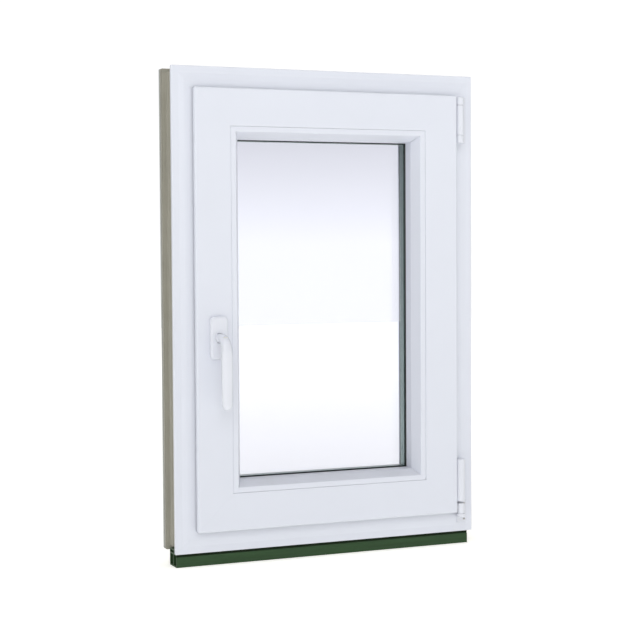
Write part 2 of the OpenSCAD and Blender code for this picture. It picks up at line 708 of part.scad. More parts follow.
module gear_outline() union() {
    circle(r = pitch_r - tooth_in);
    for (i = [0:pinion_teeth - 1]) rotate(i * 360 / pinion_teeth)
        polygon([[pitch_r - tooth_in - 1, -1.6], [pitch_r, -1.1], [pitch_r + tooth_out, -0.6],
            [pitch_r + tooth_out, 0.6], [pitch_r, 1.1], [pitch_r - tooth_in - 1, 1.6]]);
}
module pinion() color("goldenrod") window() difference() {
    union() {
        translate([spindle_x, pinion_b, spindle_z]) rotate([90, 0, 0])
            linear_extrude(pinion_b - pinion_a) gear_outline();
        rod_y(spindle_x, spindle_z, hub_r, case_a, case_b);
    }
    spindle_square(spindle_a + 0.1, case_a - 1, case_b + 1);
}

module handle_spindle() color(steel) window()
    spindle_square(spindle_a, -sash_proud - grip_stand + grip_t, case_b);

module handle_lever() color(white) window() difference() {
    grip_y = -sash_proud - grip_stand;
    union() {
        rod_y(spindle_x, spindle_z, neck_r, grip_y + grip_t - 1, -sash_proud - rosette_t + 1.9);
        translate([spindle_x, 0, spindle_z + 10 - (grip_len + 10) / 2])
            plate_y(grip_w, grip_len + 10, grip_round, grip_y, grip_y + grip_t);
    }
    spindle_square(spindle_a + 0.1, grip_y + grip_t, 0);
}

module rosette_base() color(steel) window() difference() {
    translate([spindle_x, 0, spindle_z]) plate_y(rosette_w - 2 * rosette_wall - 0.6,
        rosette_h - 2 * rosette_wall - 0.6, 6, -sash_proud - rosette_t + 2.4, -sash_proud);
    rod_y(spindle_x, spindle_z, spindle_a * 0.8, -far, 0);
    for (s = [-1, 1]) {
        rod_y(spindle_x, spindle_z + s * rosette_screw_step, rosette_screw_r + 0.1, -far, 0);
        rod_y(spindle_x, spindle_z + s * rosette_screw_step, rosette_head_r + loose, -far, -sash_proud - 3);
    }
}
module rosette_cover() color(white) window() difference() {
    translate([spindle_x, 0, spindle_z])
        plate_y(rosette_w, rosette_h, 8, -sash_proud - rosette_t, -sash_proud);
    translate([spindle_x, 0, spindle_z]) plate_y(rosette_w - 2 * rosette_wall, rosette_h - 2 * rosette_wall,
        8 - rosette_wall, -sash_proud - rosette_t + rosette_wall, 1);
    rod_y(spindle_x, spindle_z, neck_r + 0.1, -far, 0);
}
module rosette_screws() color(steel) window() for (s = [-1, 1]) {
    rod_y(spindle_x, spindle_z + s * rosette_screw_step, rosette_screw_r, -sash_proud - 3,
          case_a + case_wall);
    rod_y(spindle_x, spindle_z + s * rosette_screw_step, rosette_head_r,
          -sash_proud - 5.5, -sash_proud - 3);
}

// ---------- drive rods and cams ----------

module drive_rod(n, a, b)
    side(n) block(a, b, groove_v - rod_w / 2, groove_v + rod_w / 2, rod_u, rod_u + rod_t);
module cam(n, x) side(n) translate([x, groove_v, cam_tip_u]) cylinder(r = cam_r, h = rod_u - cam_tip_u);

// Side rod with the rack that meets the pinion.
module side_drive_rod() color(steel) window() {
    drive_rod(1, -side_rod_high, -side_rod_low);
    translate([-frame_w / 2, 0, spindle_z]) {
        block(rod_u + rod_t, rack_root_u, pinion_a + 0.5, pinion_b - 0.5,
            (rack_teeth[0] + 0.5) * tooth_pitch - 3, (rack_teeth[1] + 0.5) * tooth_pitch + 3);
        for (i = [rack_teeth[0]:rack_teeth[1]])
            translate([rack_root_u, pinion_b - 0.5, (i + 0.5) * tooth_pitch])
            rotate([90, 0, 0]) linear_extrude(pinion_b - pinion_a - 1)
            polygon([[-0.1, -1.5], [0, -1.5], [rack_tooth_h, -0.7],
                     [rack_tooth_h, 0.7], [0, 1.5], [-0.1, 1.5]]);
    }
}
module side_locking_cams() color(steel) window() for (z = side_cams) cam(1, -z);
module top_drive_rod() color(steel) window() drive_rod(2, -top_rod_x[1], -top_rod_x[0]);
module top_locking_cam() color(steel) window() cam(2, -top_cam_x);
module bottom_drive_rod() color(steel) window() drive_rod(0, low_rod_x[0], low_rod_x[1]);
module tilt_cam() color(steel) window() cam(0, low_cam_x);

// ---------- assembly ----------

frame_bottom();
frame_left();
frame_top();
frame_right();
frame_steel_bars();
frame_rebate_gasket();
base_profile();
drain_caps();
side_strikers();
top_striker();
tilt_striker();
striker_screws();
upper_hinge_bracket();
upper_hinge_pin();
upper_hinge_covers();
lower_hinge_bracket();
hinge_screws();
lower_pivot_post();
stay_arm();
stay_stud();
stay_knuckle_cover();
sash_bottom();
sash_left();
sash_top();
sash_right();
sash_steel_bars();
sash_overlap_gasket();
bead_bottom();
bead_left();
bead_top();
bead_right();
room_pane();
outdoor_pane();
spacer_frame();
edge_seal();
bead_gasket();
outdoor_glazing_gasket();
setting_blocks();
gearbox_case();
side_face_plate();
top_face_plate();
bottom_face_plate();
corner_drives();
lower_hinge_band();
lower_hinge_cover();
rosette_base();
rosette_cover();
rosette_screws();
handle_lever();
handle_spindle();
pinion();
side_drive_rod();
side_locking_cams();
top_drive_rod();
top_locking_cam();
bottom_drive_rod();
tilt_cam();
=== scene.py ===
"""Looks of a white tilt-and-turn window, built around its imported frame."""

import json
import math

import bmesh
import bpy
from mathutils import Matrix, Vector
from mathutils.geometry import tessellate_polygon

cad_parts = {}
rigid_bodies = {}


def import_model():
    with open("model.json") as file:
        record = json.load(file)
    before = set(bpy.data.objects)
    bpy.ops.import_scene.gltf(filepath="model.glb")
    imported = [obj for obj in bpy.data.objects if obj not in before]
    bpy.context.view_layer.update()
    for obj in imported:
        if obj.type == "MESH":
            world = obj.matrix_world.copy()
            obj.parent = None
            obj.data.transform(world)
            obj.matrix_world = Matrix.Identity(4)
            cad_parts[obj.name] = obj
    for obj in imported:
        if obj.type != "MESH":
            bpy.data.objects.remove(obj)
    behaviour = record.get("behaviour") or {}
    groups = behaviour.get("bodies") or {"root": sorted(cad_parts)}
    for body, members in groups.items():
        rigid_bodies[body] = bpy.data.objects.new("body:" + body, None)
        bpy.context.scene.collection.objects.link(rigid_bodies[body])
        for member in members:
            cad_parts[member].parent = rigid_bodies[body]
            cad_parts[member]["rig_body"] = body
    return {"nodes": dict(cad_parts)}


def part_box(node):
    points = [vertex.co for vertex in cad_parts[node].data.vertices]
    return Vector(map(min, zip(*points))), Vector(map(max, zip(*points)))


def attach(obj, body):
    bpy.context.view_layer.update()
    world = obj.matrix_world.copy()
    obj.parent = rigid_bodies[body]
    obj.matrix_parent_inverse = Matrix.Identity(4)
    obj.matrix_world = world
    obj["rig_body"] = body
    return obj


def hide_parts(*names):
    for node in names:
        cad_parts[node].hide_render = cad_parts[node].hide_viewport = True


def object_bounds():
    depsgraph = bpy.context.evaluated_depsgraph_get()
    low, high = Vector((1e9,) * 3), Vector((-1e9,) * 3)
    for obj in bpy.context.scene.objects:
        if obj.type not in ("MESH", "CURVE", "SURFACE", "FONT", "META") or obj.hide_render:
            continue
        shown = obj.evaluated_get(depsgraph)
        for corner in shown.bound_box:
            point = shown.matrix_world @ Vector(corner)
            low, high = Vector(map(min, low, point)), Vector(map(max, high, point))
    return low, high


bl_info = {
    "name": "Tilt-and-turn Window",
    "version": (1, 0, 0),
    "blender": (4, 5, 0),
    "location": "View3D > Sidebar > Window",
    "description": "Builds the frame, sash, glass, fittings and finishes of a tilt-and-turn window",
    "category": "Add Mesh",
}

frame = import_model()
CAD_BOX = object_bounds()
NODES = frame["nodes"]

MM = 0.001
SIDES = ("bottom", "left", "top", "right")
ALONG = (Vector((1, 0, 0)), Vector((0, 0, -1)), Vector((-1, 0, 0)), Vector((0, 0, 1)))
INWARD = (Vector((0, 0, 1)), Vector((1, 0, 0)), Vector((0, 0, -1)), Vector((-1, 0, 0)))

# The frame's outside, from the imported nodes. Depths are measured from its room face.
FRAME_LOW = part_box("frame_bottom")[0]
FRAME_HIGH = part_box("frame_top")[1]
MIDDLE = Vector(((FRAME_LOW.x + FRAME_HIGH.x) / 2, FRAME_LOW.y, (FRAME_LOW.z + FRAME_HIGH.z) / 2))
HALF_W = (FRAME_HIGH.x - FRAME_LOW.x) / 2 / MM
HALF_H = (FRAME_HIGH.z - FRAME_LOW.z) / 2 / MM


def depth_of(y):
    """Depth in mm behind the frame's room face."""
    return (y - MIDDLE.y) / MM


def inset_of(node, side="left"):
    """How far in mm a node's outer side lies inside the frame's outside."""
    low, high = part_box(node)
    return {"left": low.x - FRAME_LOW.x, "right": FRAME_HIGH.x - high.x,
            "bottom": low.z - FRAME_LOW.z, "top": FRAME_HIGH.z - high.z}[side] / MM


# ---------- sizes and colours ----------

def size(name, description, default_mm):
    """A length property whose default is given in millimetres."""
    return bpy.props.FloatProperty(name=name, description=description, default=default_mm * MM,
                                   min=0, precision=5, unit="LENGTH")


def colour(name, description, default):
    """A linear colour property."""
    return bpy.props.FloatVectorProperty(name=name, description=description, default=default,
                                         subtype="COLOR", min=0, max=1)


def share(name, description, default):
    """A number from nought to one."""
    return bpy.props.FloatProperty(name=name, description=description, default=default,
                                   min=0, max=1, subtype="FACTOR")


class MemberSizes(bpy.types.PropertyGroup):
    """Sizes of the frame, sash and bead sections."""
    flange: size("Flange", "Thickness of the frame's flange at the room face", 8)
    channel_depth: size("Channel depth", "Depth of the fixing channel", 8.7)
    channel_width: size("Channel width", "Width of the fixing channel", 49)
    frame_body: size("Frame height", "Height of the frame section up to the rebate", 46)
    leg: size("Leg", "Thickness of the frame's outdoor leg", 10)
    skin: size("Skin", "Outer wall of the hollow members", 3)
    web: size("Web", "Wall between two chambers", 2.5)
    overlap: size("Overlap", "Thickness of the sash's overlapping flange", 9)
    rebate: size("Rebate air", "Air between frame and sash", 12)
    groove: size("Gear groove", "Width of the sash's gear groove", 16)
    groove_depth: size("Gear groove depth", "Depth of the sash's gear groove", 8)
    bead_flat: size("Bead flat", "Width of the bead's flat front", 9.5)
    bead_wall: size("Bead wall", "How far the bead's steep wall starts behind the frame face", 9)
    weld_width: size("Weld width", "Half width of the cleaned weld groove", 1.1)
    weld_depth: size("Weld depth", "Depth of the cleaned weld groove", 0.35)
    corner_round: size("Corner rounding", "Radius of the sash's outer corners", 4)


class HandleSizes(bpy.types.PropertyGroup):
    """Sizes of the lever and its rosette."""
    neck: size("Neck", "Radius of the lever's neck", 8.3)
    bend: size("Bend", "Radius of the bend from neck to grip", 24)
    grip_width: size("Grip width", "Width of the grip at its middle", 20)
    grip_depth: size("Grip depth", "Thickness of the grip", 12)
    rosette_round: size("Rosette corner", "Corner radius of the rosette", 8)
    rosette_edge: size("Rosette edge", "Rounding of the rosette's front edge", 5)


class FittingSizes(bpy.types.PropertyGroup):
    """Sizes of small fittings."""
    screw_head: size("Screw head", "Radius of a striker or hinge screw's head", 3.3)
    screw_shank: size("Screw shank", "Radius of a screw's shank", 1.75)
    recess: size("Recess", "Width of the cross recess", 0.9)
    perforation_step: size("Perforation step", "Distance between two holes of the spacer", 4)
    perforation: size("Perforation", "Length of one hole of the spacer", 1.6)
    edge: size("Metal edge", "Rounding of the pressed and cast metal edges", 0.4)


class Finishes(bpy.types.PropertyGroup):
    """Colours of the window's materials."""
    white: colour("White PVC", "Skin of the frame, sash and beads", (0.66, 0.685, 0.76))
    core: colour("Recycled core", "Unseen faces of the frame in its channel", (0.335, 0.325, 0.275))
    # Painted shade: this grey stands for the white skin on the side of the back lip, which faces away from
    # the light.
    edge: colour("Lip edge in painted shade", "Side of the frame's thin back lip", (0.42, 0.43, 0.41))
    green: colour("Green PVC", "Base profile", (0.026, 0.062, 0.024))
    lacquer: colour("White lacquer", "Lever and hinge covers", (0.67, 0.69, 0.755))
    glass: colour("Glass", "Tint of the panes", (0.865, 0.872, 0.92))
    spacer: colour("Spacer", "Metal spacer between the panes", (0.27, 0.36, 0.335))
    white_gloss: share("White roughness", "Roughness of the white PVC", 0.36)


GROUPS = {"window_members": MemberSizes, "window_handle": HandleSizes,
          "window_fittings": FittingSizes, "window_finishes": Finishes}


def in_mm(group, name):
    """A length of a property group, in millimetres."""
    return getattr(getattr(bpy.context.scene, group), name) / MM


# ---------- meshes ----------

def unit_arc(a, b, steps):
    """Unit vectors from direction a to direction b in even steps."""
    turn = a.angle(b)
    for k in range(steps + 1):
        t = k / steps
        yield (a * math.sin((1 - t) * turn) + b * math.sin(t * turn)) / math.sin(turn)


def rounded(corners, steps=4, hold=0.3):
    """Closed outline from (depth, inset, radius) corners in mm: an arc at each, with points that hold it."""
    points = []
    for i, (v, u, radius) in enumerate(corners):
        corner = Vector((v, u))
        back = Vector(corners[i - 1][:2]) - corner
        ahead = Vector(corners[(i + 1) % len(corners)][:2]) - corner
        room = 0.48 * min(back.length, ahead.length)
        back.normalize()
        ahead.normalize()
        half = back.angle(ahead) / 2
        reach = min(radius / math.tan(half), room)
        if reach < 0.02:
            points.append(corner)
            continue
        radius = reach * math.tan(half)
        centre = corner + (back + ahead).normalized() * (radius / math.sin(half))
        held = min(hold, room - reach)
        if held > 0.05:
            points.append(corner + back * (reach + held))
        start = (corner + back * reach - centre).normalized()
        end = (corner + ahead * reach - centre).normalized()
        points += [centre + d * radius for d in unit_arc(start, end, steps)]
        if held > 0.05:
            points.append(corner + ahead * (reach + held))
    return points


def box_outline(v1, v2, u1, u2, radius=0.6):
    """Rounded rectangle between two depths and two insets."""
    return rounded([(v1, u1, radius), (v2, u1, radius), (v2, u2, radius), (v1, u2, radius)], steps=2)


def shrunk(points, amount):
    """The outline moved towards its own inside by amount."""
    area = sum(p.cross(q) for p, q in zip(points, points[1:] + points[:1]))
    turn = 1 if area > 0 else -1
    moved = []
    for i, p in enumerate(points):
        way = (points[(i + 1) % len(points)] - points[i - 1]).normalized()
        moved.append(p + Vector((-way.y, way.x)) * (amount * turn))
    return moved


class Shape:
    """Collects the corners and faces of one piece, with a material index for each face."""

    def __init__(self):
        self.points, self.faces, self.marks = [], [], []

    def ring(self, points):
        """Adds points in metres and returns their numbers."""
        start = len(self.points)
        self.points += points
        return list(range(start, len(self.points)))

    def skin(self, a, b, mark=lambda i: 0):
        """Joins two rings of the same length with four-sided faces."""
        for i in range(len(a)):
            j = (i + 1) % len(a)
            self.faces.append((a[i], a[j], b[j], b[i]))
            self.marks.append(mark(i))

    def cap(self, *rings):
        """Closes flat ends: the first ring outside, the others as holes."""
        numbers = [n for ring in rings for n in ring]
        loops = [[self.points[n] for n in ring] for ring in rings]
        for face in tessellate_polygon(loops):
            self.faces.append(tuple(numbers[k] for k in face))
            self.marks.append(0)

    def piece(self, name, materials, smooth=40):
        """Makes the object, with outward faces and edges kept sharp above an angle."""
        mesh = bpy.data.meshes.new(name)
        mesh.from_pydata(self.points, [], self.faces)
        for material in materials:
            mesh.materials.append(material)
        mesh.polygons.foreach_set("material_index", self.marks)
        return finished(name, mesh, smooth)


def weigh_normals(mesh, angle):
    """Corner normals that lean to the larger faces, so that flats stay flat beside their rounded edges."""
    limit = math.cos(angle)
    normals = [face.normal.copy() for face in mesh.polygons]
    areas = [face.area for face in mesh.polygons]
    around = [[] for vertex in mesh.vertices]
    for face in mesh.polygons:
        for vertex in face.vertices:
            around[vertex].append(face.index)
    corners = []
    for face in mesh.polygons:
        own = normals[face.index]
        for vertex in face.vertices:
            total = own * 1e-12
            for k in around[vertex]:
                if normals[k].dot(own) > limit:
                    total += normals[k] * areas[k]
            corners.append(total.normalized())
    mesh.normals_split_custom_set(corners)


def finished(name, mesh, smooth=40, recalculate=True):
    """Links a mesh as an object after turning its faces outwards and setting its smooth edges."""
    bm = bmesh.new()
    bm.from_mesh(mesh)
    bmesh.ops.remove_doubles(bm, verts=bm.verts, dist=1e-7)
    if recalculate:
        bmesh.ops.recalc_face_normals(bm, faces=bm.faces)
    bm.to_mesh(mesh)
    bm.free()
    mesh.shade_smooth()
    weigh_normals(mesh, math.radians(smooth))
    obj = bpy.data.objects.new(name, mesh)
    bpy.context.scene.collection.objects.link(obj)
    return obj


def fitted(obj, body, slot, *nodes):
    """Puts a finished piece on its body and hides the nodes that it stands for."""
    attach(obj, body)
    if nodes:
        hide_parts(*nodes)
    return obj


def way_of(n):
    """How side n lies: the bottom and top across, the others upright."""
    return "across" if n % 2 == 0 else "upright"


def place(n, s, v, u):
    """Point of side n: s along the side from its middle, v deep and u in from the frame's edge, in mm."""
    reach = half_length(n + 1)
    return MIDDLE + (ALONG[n] * s + Vector((0, v, 0)) + INWARD[n] * (u - reach)) * MM


def half_length(n):
    """Half the frame's length along side n, in mm."""
    return HALF_W if n % 2 == 0 else HALF_H


def mitred(shape, n, outlines, weld=(0, 0), corner=(0, 0), ends=(None, None), mark=lambda v, u: 0):
    """Sweeps hollow outlines along side n between its mitres, with a weld groove and rounded outer corners.

    weld is the groove's half width and depth, corner the rounding and the inset that it starts at, ends a
    square cut in mm along the side in place of a mitre, and mark picks a face's material from its middle."""
    half = half_length(n)
    radius, edge = corner

    def stop(u, sign, back):
        cut = ends[0 if sign < 0 else 1]
        if cut is not None:
            return cut
        inset, off = u, u - edge
        if 0 <= off < radius * (1 - math.sqrt(0.5)):
            inset = edge + radius - math.sqrt(radius ** 2 - (radius - off) ** 2)
        return sign * (half - inset - back)

    rings = []
    half_weld, groove = weld
    for sign, back, depth in ((-1, 0, groove), (-1, half_weld, 0), (1, half_weld, 0), (1, 0, groove)):
        row = []
        for k, outline in enumerate(outlines):
            points = shrunk(outline, depth) if depth and k == 0 else outline
            row.append(shape.ring([place(n, stop(p.y, sign, back), p.x, p.y) for p in points]))
        rings.append(row)
    if not half_weld:
        rings = [rings[0], rings[3]]
    for a, b in zip(rings, rings[1:]):
        for k, outline in enumerate(outlines):
            def kind(i, outline=outline):
                middle = (outline[i] + outline[(i + 1) % len(outline)]) / 2
                return mark(middle.x, middle.y)
            shape.skin(a[k], b[k], kind)
    shape.cap(*rings[0])
    shape.cap(*rings[-1])


def turned(shape, outline, x, y, segments=48):
    """Turns a closed (radius, height) outline in mm about an upright axis at x, y in metres."""
    rings = []
    for k in range(segments):
        a = 2 * math.pi * k / segments
        rings.append(shape.ring([Vector((x + radius * MM * math.cos(a), y + radius * MM * math.sin(a),
                                         height * MM)) for radius, height in outline]))
    for a, b in zip(rings, rings[1:] + rings[:1]):
        shape.skin(a, b)


def softened(node, name, materials, slot, width_mm):
    """Copy of a node with its sharp edges rounded, which stands for the node."""
    flat_turn, sharp_turn, smooth_turn = 1, 35, 32
    source = NODES[node]
    bm = bmesh.new()
    bm.from_mesh(source.data)
    bmesh.ops.remove_doubles(bm, verts=bm.verts, dist=2e-6)
    bmesh.ops.dissolve_limit(bm, angle_limit=math.radians(flat_turn), verts=bm.verts, edges=bm.edges)
    sharp = [e for e in bm.edges if e.is_manifold and e.calc_face_angle(0) > math.radians(sharp_turn)]
    bmesh.ops.bevel(bm, geom=sharp, offset=width_mm * MM, segments=2, profile=0.5,
                    affect="EDGES", clamp_overlap=True)
    mesh = bpy.data.meshes.new(name)
    bm.to_mesh(mesh)
    bm.free()
    for material in materials:
        mesh.materials.append(material)
    obj = finished(name, mesh, smooth_turn, recalculate=False)
    return fitted(obj, source["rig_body"], slot, node)


METAL_SLOTS = {"galvanised": "galvanised_steel", "gear steel": "gear_steel",
               "zinc casting": "zinc_casting", "lacquer": "zinc_casting"}


def metal_pieces(*rows):
    """Softened copies of metal nodes, from rows of node, piece name and finish."""
    edge = in_mm("window_fittings", "edge")
    for node, name, kind in rows:
        softened(node, name, [finish(kind)], METAL_SLOTS[kind], edge)


# ---------- materials ----------

def new_group(name, sockets):
    """Empty shader group with (name, direction, type, default) sockets, and its input and output nodes."""
    tree = bpy.data.node_groups.new(name, "ShaderNodeTree")
    for label, way, kind, default in sockets:
        socket = tree.interface.new_socket(name=label, in_out=way, socket_type=kind)
        if default is not None:
            socket.default_value = default
    return tree, tree.nodes.new("NodeGroupInput"), tree.nodes.new("NodeGroupOutput")


def new_node(tree, kind, settings=None, values=None):
    """New node with its settings and the values of its inputs."""
    node = tree.nodes.new(kind)
    for name, value in (settings or {}).items():
        setattr(node, name, value)
    for name, value in (values or {}).items():
        node.inputs[name].default_value = value
    return node


def fine_grain():
    """Group: drawn or moulded surface grain as a height and a slow tone variation, on Object coordinates."""
    if "Surface grain" in bpy.data.node_groups:
        return bpy.data.node_groups["Surface grain"]
    tree, given, result = new_group("Surface grain", [
        ("Stretch", "INPUT", "NodeSocketVector", (1, 1, 1)),
        ("Tone Stretch", "INPUT", "NodeSocketVector", (1, 1, 1)),
        ("Grain Size", "INPUT", "NodeSocketFloat", 2500.0),
        ("Tone Size", "INPUT", "NodeSocketFloat", 9.0),
        ("Height", "OUTPUT", "NodeSocketFloat", None),
        ("Tone", "OUTPUT", "NodeSocketFloat", None),
        ("Fleck", "OUTPUT", "NodeSocketFloat", None)])
    link = tree.links.new
    where = tree.nodes.new("ShaderNodeTexCoord")
    for output, stretch_name, size_name, detail in (("Height", "Stretch", "Grain Size", 2),
                                                    ("Tone", "Tone Stretch", "Tone Size", 3)):
        stretch = new_node(tree, "ShaderNodeVectorMath", {"operation": "MULTIPLY"})
        link(where.outputs["Object"], stretch.inputs[0])
        link(given.outputs[stretch_name], stretch.inputs[1])
        noise = new_node(tree, "ShaderNodeTexNoise", values={"Detail": detail})
        link(stretch.outputs[0], noise.inputs["Vector"])
        link(given.outputs[size_name], noise.inputs["Scale"])
        link(noise.outputs["Fac"], result.inputs[output])
    cells = new_node(tree, "ShaderNodeTexVoronoi", values={"Scale": 260})
    link(where.outputs["Object"], cells.inputs["Vector"])
    grey = tree.nodes.new("ShaderNodeRGBToBW")
    link(cells.outputs["Color"], grey.inputs["Color"])
    link(grey.outputs["Val"], result.inputs["Fleck"])
    return tree


def settled_dust():
    """Group: mask of the faces that look up, broken by noise, where dust settles."""
    if "Settled dust" in bpy.data.node_groups:
        return bpy.data.node_groups["Settled dust"]
    tree, given, result = new_group("Settled dust", [
        ("Amount", "INPUT", "NodeSocketFloat", 0.3), ("Mask", "OUTPUT", "NodeSocketFloat", None)])
    link = tree.links.new
    facing = tree.nodes.new("ShaderNodeNewGeometry")
    split = tree.nodes.new("ShaderNodeSeparateXYZ")
    link(facing.outputs["Normal"], split.inputs[0])
    up = new_node(tree, "ShaderNodeMapRange", values={"From Min": 0.55, "From Max": 0.98})
    link(split.outputs["Z"], up.inputs["Value"])
    where = tree.nodes.new("ShaderNodeTexCoord")
    noise = new_node(tree, "ShaderNodeTexNoise", values={"Scale": 45, "Detail": 4})
    link(where.outputs["Object"], noise.inputs["Vector"])
    product = new_node(tree, "ShaderNodeMath", {"operation": "MULTIPLY"})
    link(up.outputs["Result"], product.inputs[0])
    link(noise.outputs["Fac"], product.inputs[1])
    scaled = new_node(tree, "ShaderNodeMath", {"operation": "MULTIPLY"})
    link(product.outputs[0], scaled.inputs[0])
    link(given.outputs["Amount"], scaled.inputs[1])
    link(scaled.outputs[0], result.inputs["Mask"])
    return tree


def toned(colour_value, factor):
    """A colour lightened or darkened by a factor, as four numbers."""
    return tuple(min(c * factor, 1) for c in colour_value[:3]) + (1,)


def surface(name, base, roughness, metallic=0.0, stretch=(1, 1, 1), grain=2500.0, bump=0.04,
            tone=0.02, tone_size=9.0, tone_stretch=(1, 1, 1), rough_play=0.05, fleck=0.0, dust=0.0,
            specular=0.5, coat=0.0):
    """Material of one finish: its colour and gloss vary with the grain group, dust lies on what looks up."""
    if name in bpy.data.materials:
        return bpy.data.materials[name]
    material = bpy.data.materials.new(name)
    material.use_nodes = True
    tree = material.node_tree
    link = tree.links.new
    shader = tree.nodes["Principled BSDF"]
    coat_roughness, bump_height, dust_colour = 0.15, 0.0002, (0.42, 0.40, 0.37, 1)
    shader.inputs["Metallic"].default_value = metallic
    shader.inputs["Specular IOR Level"].default_value = specular
    shader.inputs["Coat Weight"].default_value = coat
    shader.inputs["Coat Roughness"].default_value = coat_roughness
    grains = new_node(tree, "ShaderNodeGroup", {"node_tree": fine_grain()},
                      {"Stretch": stretch, "Tone Stretch": tone_stretch,
                       "Grain Size": grain, "Tone Size": tone_size})
    source = grains.outputs["Fleck" if fleck else "Tone"]
    spread = fleck or tone
    shade = new_node(tree, "ShaderNodeMix", {"data_type": "RGBA"},
                     {"A": toned(base, 1 - spread), "B": toned(base, 1 + spread)})
    link(source, shade.inputs["Factor"])
    result = shade.outputs["Result"]
    if dust:
        dusty = new_node(tree, "ShaderNodeGroup", {"node_tree": settled_dust()}, {"Amount": dust})
        cover = new_node(tree, "ShaderNodeMix", {"data_type": "RGBA"}, {"B": dust_colour})
        link(dusty.outputs["Mask"], cover.inputs["Factor"])
        link(result, cover.inputs["A"])
        result = cover.outputs["Result"]
    link(result, shader.inputs["Base Color"])
    gloss = new_node(tree, "ShaderNodeMapRange",
                     values={"To Min": roughness - rough_play, "To Max": roughness + rough_play})
    link(source, gloss.inputs["Value"])
    link(gloss.outputs["Result"], shader.inputs["Roughness"])
    height = new_node(tree, "ShaderNodeBump", values={"Strength": bump, "Distance": bump_height})
    link(grains.outputs["Height"], height.inputs["Height"])
    link(height.outputs["Normal"], shader.inputs["Normal"])
    return material


def glass_finish():
    """Clear float glass, which lets the lamps' light through."""
    if "Float glass" in bpy.data.materials:
        return bpy.data.materials["Float glass"]
    material = bpy.data.materials.new("Float glass")
    material.use_nodes = True
    tree = material.node_tree
    link = tree.links.new
    shader = tree.nodes["Principled BSDF"]
    tint = bpy.context.scene.window_finishes.glass
    shader.inputs["Base Color"].default_value = (*tint, 1)
    shader.inputs["Roughness"].default_value = 0.0
    shader.inputs["IOR"].default_value = 1.5
    shader.inputs["Transmission Weight"].default_value = 1.0
    clear = new_node(tree, "ShaderNodeBsdfTransparent",
                     values={"Color": (*[math.sqrt(c) for c in tint], 1)})
    path = tree.nodes.new("ShaderNodeLightPath")
    either = new_node(tree, "ShaderNodeMath", {"operation": "MAXIMUM"})
    link(path.outputs["Is Shadow Ray"], either.inputs[0])
    link(path.outputs["Is Diffuse Ray"], either.inputs[1])
    mix = tree.nodes.new("ShaderNodeMixShader")
    link(either.outputs[0], mix.inputs["Fac"])
    link(shader.outputs["BSDF"], mix.inputs[1])
    link(clear.outputs["BSDF"], mix.inputs[2])
    link(mix.outputs["Shader"], tree.nodes["Material Output"].inputs["Surface"])
    return material


def finish(kind):
    """One of the window's finishes by its plain name."""
    look = bpy.context.scene.window_finishes
    white, lacquer = tuple(look.white), tuple(look.lacquer)
    if kind == "glass":
        return glass_finish()
    drawn = {"across": (0.02, 1, 1), "upright": (1, 1, 0.02)}
    extruded = {
        "white": dict(base=white, roughness=look.white_gloss, dust=0.25),
        "bead": dict(base=white, roughness=0.33, dust=0.3),
        "core": dict(base=tuple(look.core), roughness=0.55, grain=900.0, bump=0.15, tone=0.10,
                     tone_size=30.0),
    }
    recipes = {f"{part} {way}": dict(recipe, stretch=stretch)
               for part, recipe in extruded.items() for way, stretch in drawn.items()}
    recipes.update({
        # Painted shade: near-black for the insides of the grooves in the frame's back lip.
        "groove painted shade": dict(base=(0.06, 0.06, 0.05), roughness=0.7, bump=0.0, tone=0.2),
        # Painted shade: grey for the white skin on the side of the back lip, which faces away from the
        # light.
        "lip edge in painted shade": dict(base=tuple(look.edge), roughness=0.5, grain=900.0, bump=0.1, tone=0.08),
        "cover plastic": dict(base=lacquer, roughness=0.30, grain=1800.0, bump=0.06),
        "lacquer": dict(base=lacquer, roughness=0.24, grain=420.0, bump=0.05, coat=0.35),
        "green pvc": dict(base=tuple(look.green), roughness=0.42, stretch=drawn["across"], grain=900.0,
                          bump=0.2, tone=0.35, tone_size=140.0, tone_stretch=(0.06, 1, 1), dust=0.1,
                          specular=0.2),
        # Painted shade: near-black green for the recess under the frame's flange, where the flange's shadow
        # falls.
        "green painted shade": dict(base=(0.006, 0.016, 0.005), roughness=0.6, tone=0.2, specular=0.1),
        "rubber": dict(base=(0.014, 0.014, 0.015), roughness=0.55, grain=3000.0, bump=0.15, tone=0.3),
        "butyl": dict(base=(0.05, 0.09, 0.075), roughness=0.45, grain=500.0, bump=0.2, tone=0.3),
        "packer": dict(base=(0.035, 0.05, 0.11), roughness=0.4, grain=1500.0, bump=0.1, tone=0.1),
        "galvanised": dict(base=(0.56, 0.57, 0.58), roughness=0.38, metallic=1.0, fleck=0.16,
                           rough_play=0.12, bump=0.03),
        "zinc casting": dict(base=(0.52, 0.52, 0.50), roughness=0.42, metallic=1.0, grain=1600.0,
                             bump=0.18, tone=0.08, tone_size=60.0, rough_play=0.08),
        "gear steel": dict(base=(0.62, 0.61, 0.58), roughness=0.28, metallic=1.0, stretch=(1, 1, 0.05),
                           grain=2600.0, bump=0.08, tone=0.05, tone_size=40.0),
        "spacer": dict(base=tuple(look.spacer), roughness=0.33, metallic=0.7, grain=2200.0, bump=0.05,
                       tone=0.05),
        # Painted shade: near-black for the spacer's slots, which stand for the dark inside of punched holes.
        "hole": dict(base=(0.01, 0.012, 0.012), roughness=0.8, bump=0.0, tone=0.2),
    })
    return surface(kind.capitalize(), **recipes[kind])


# ---------- sections ----------

# The bead's foot, in mm: how far it reaches into the sash, and the gap where bead and sash meet.
BEAD_FOOT = 4
BEAD_GAP = 0.15


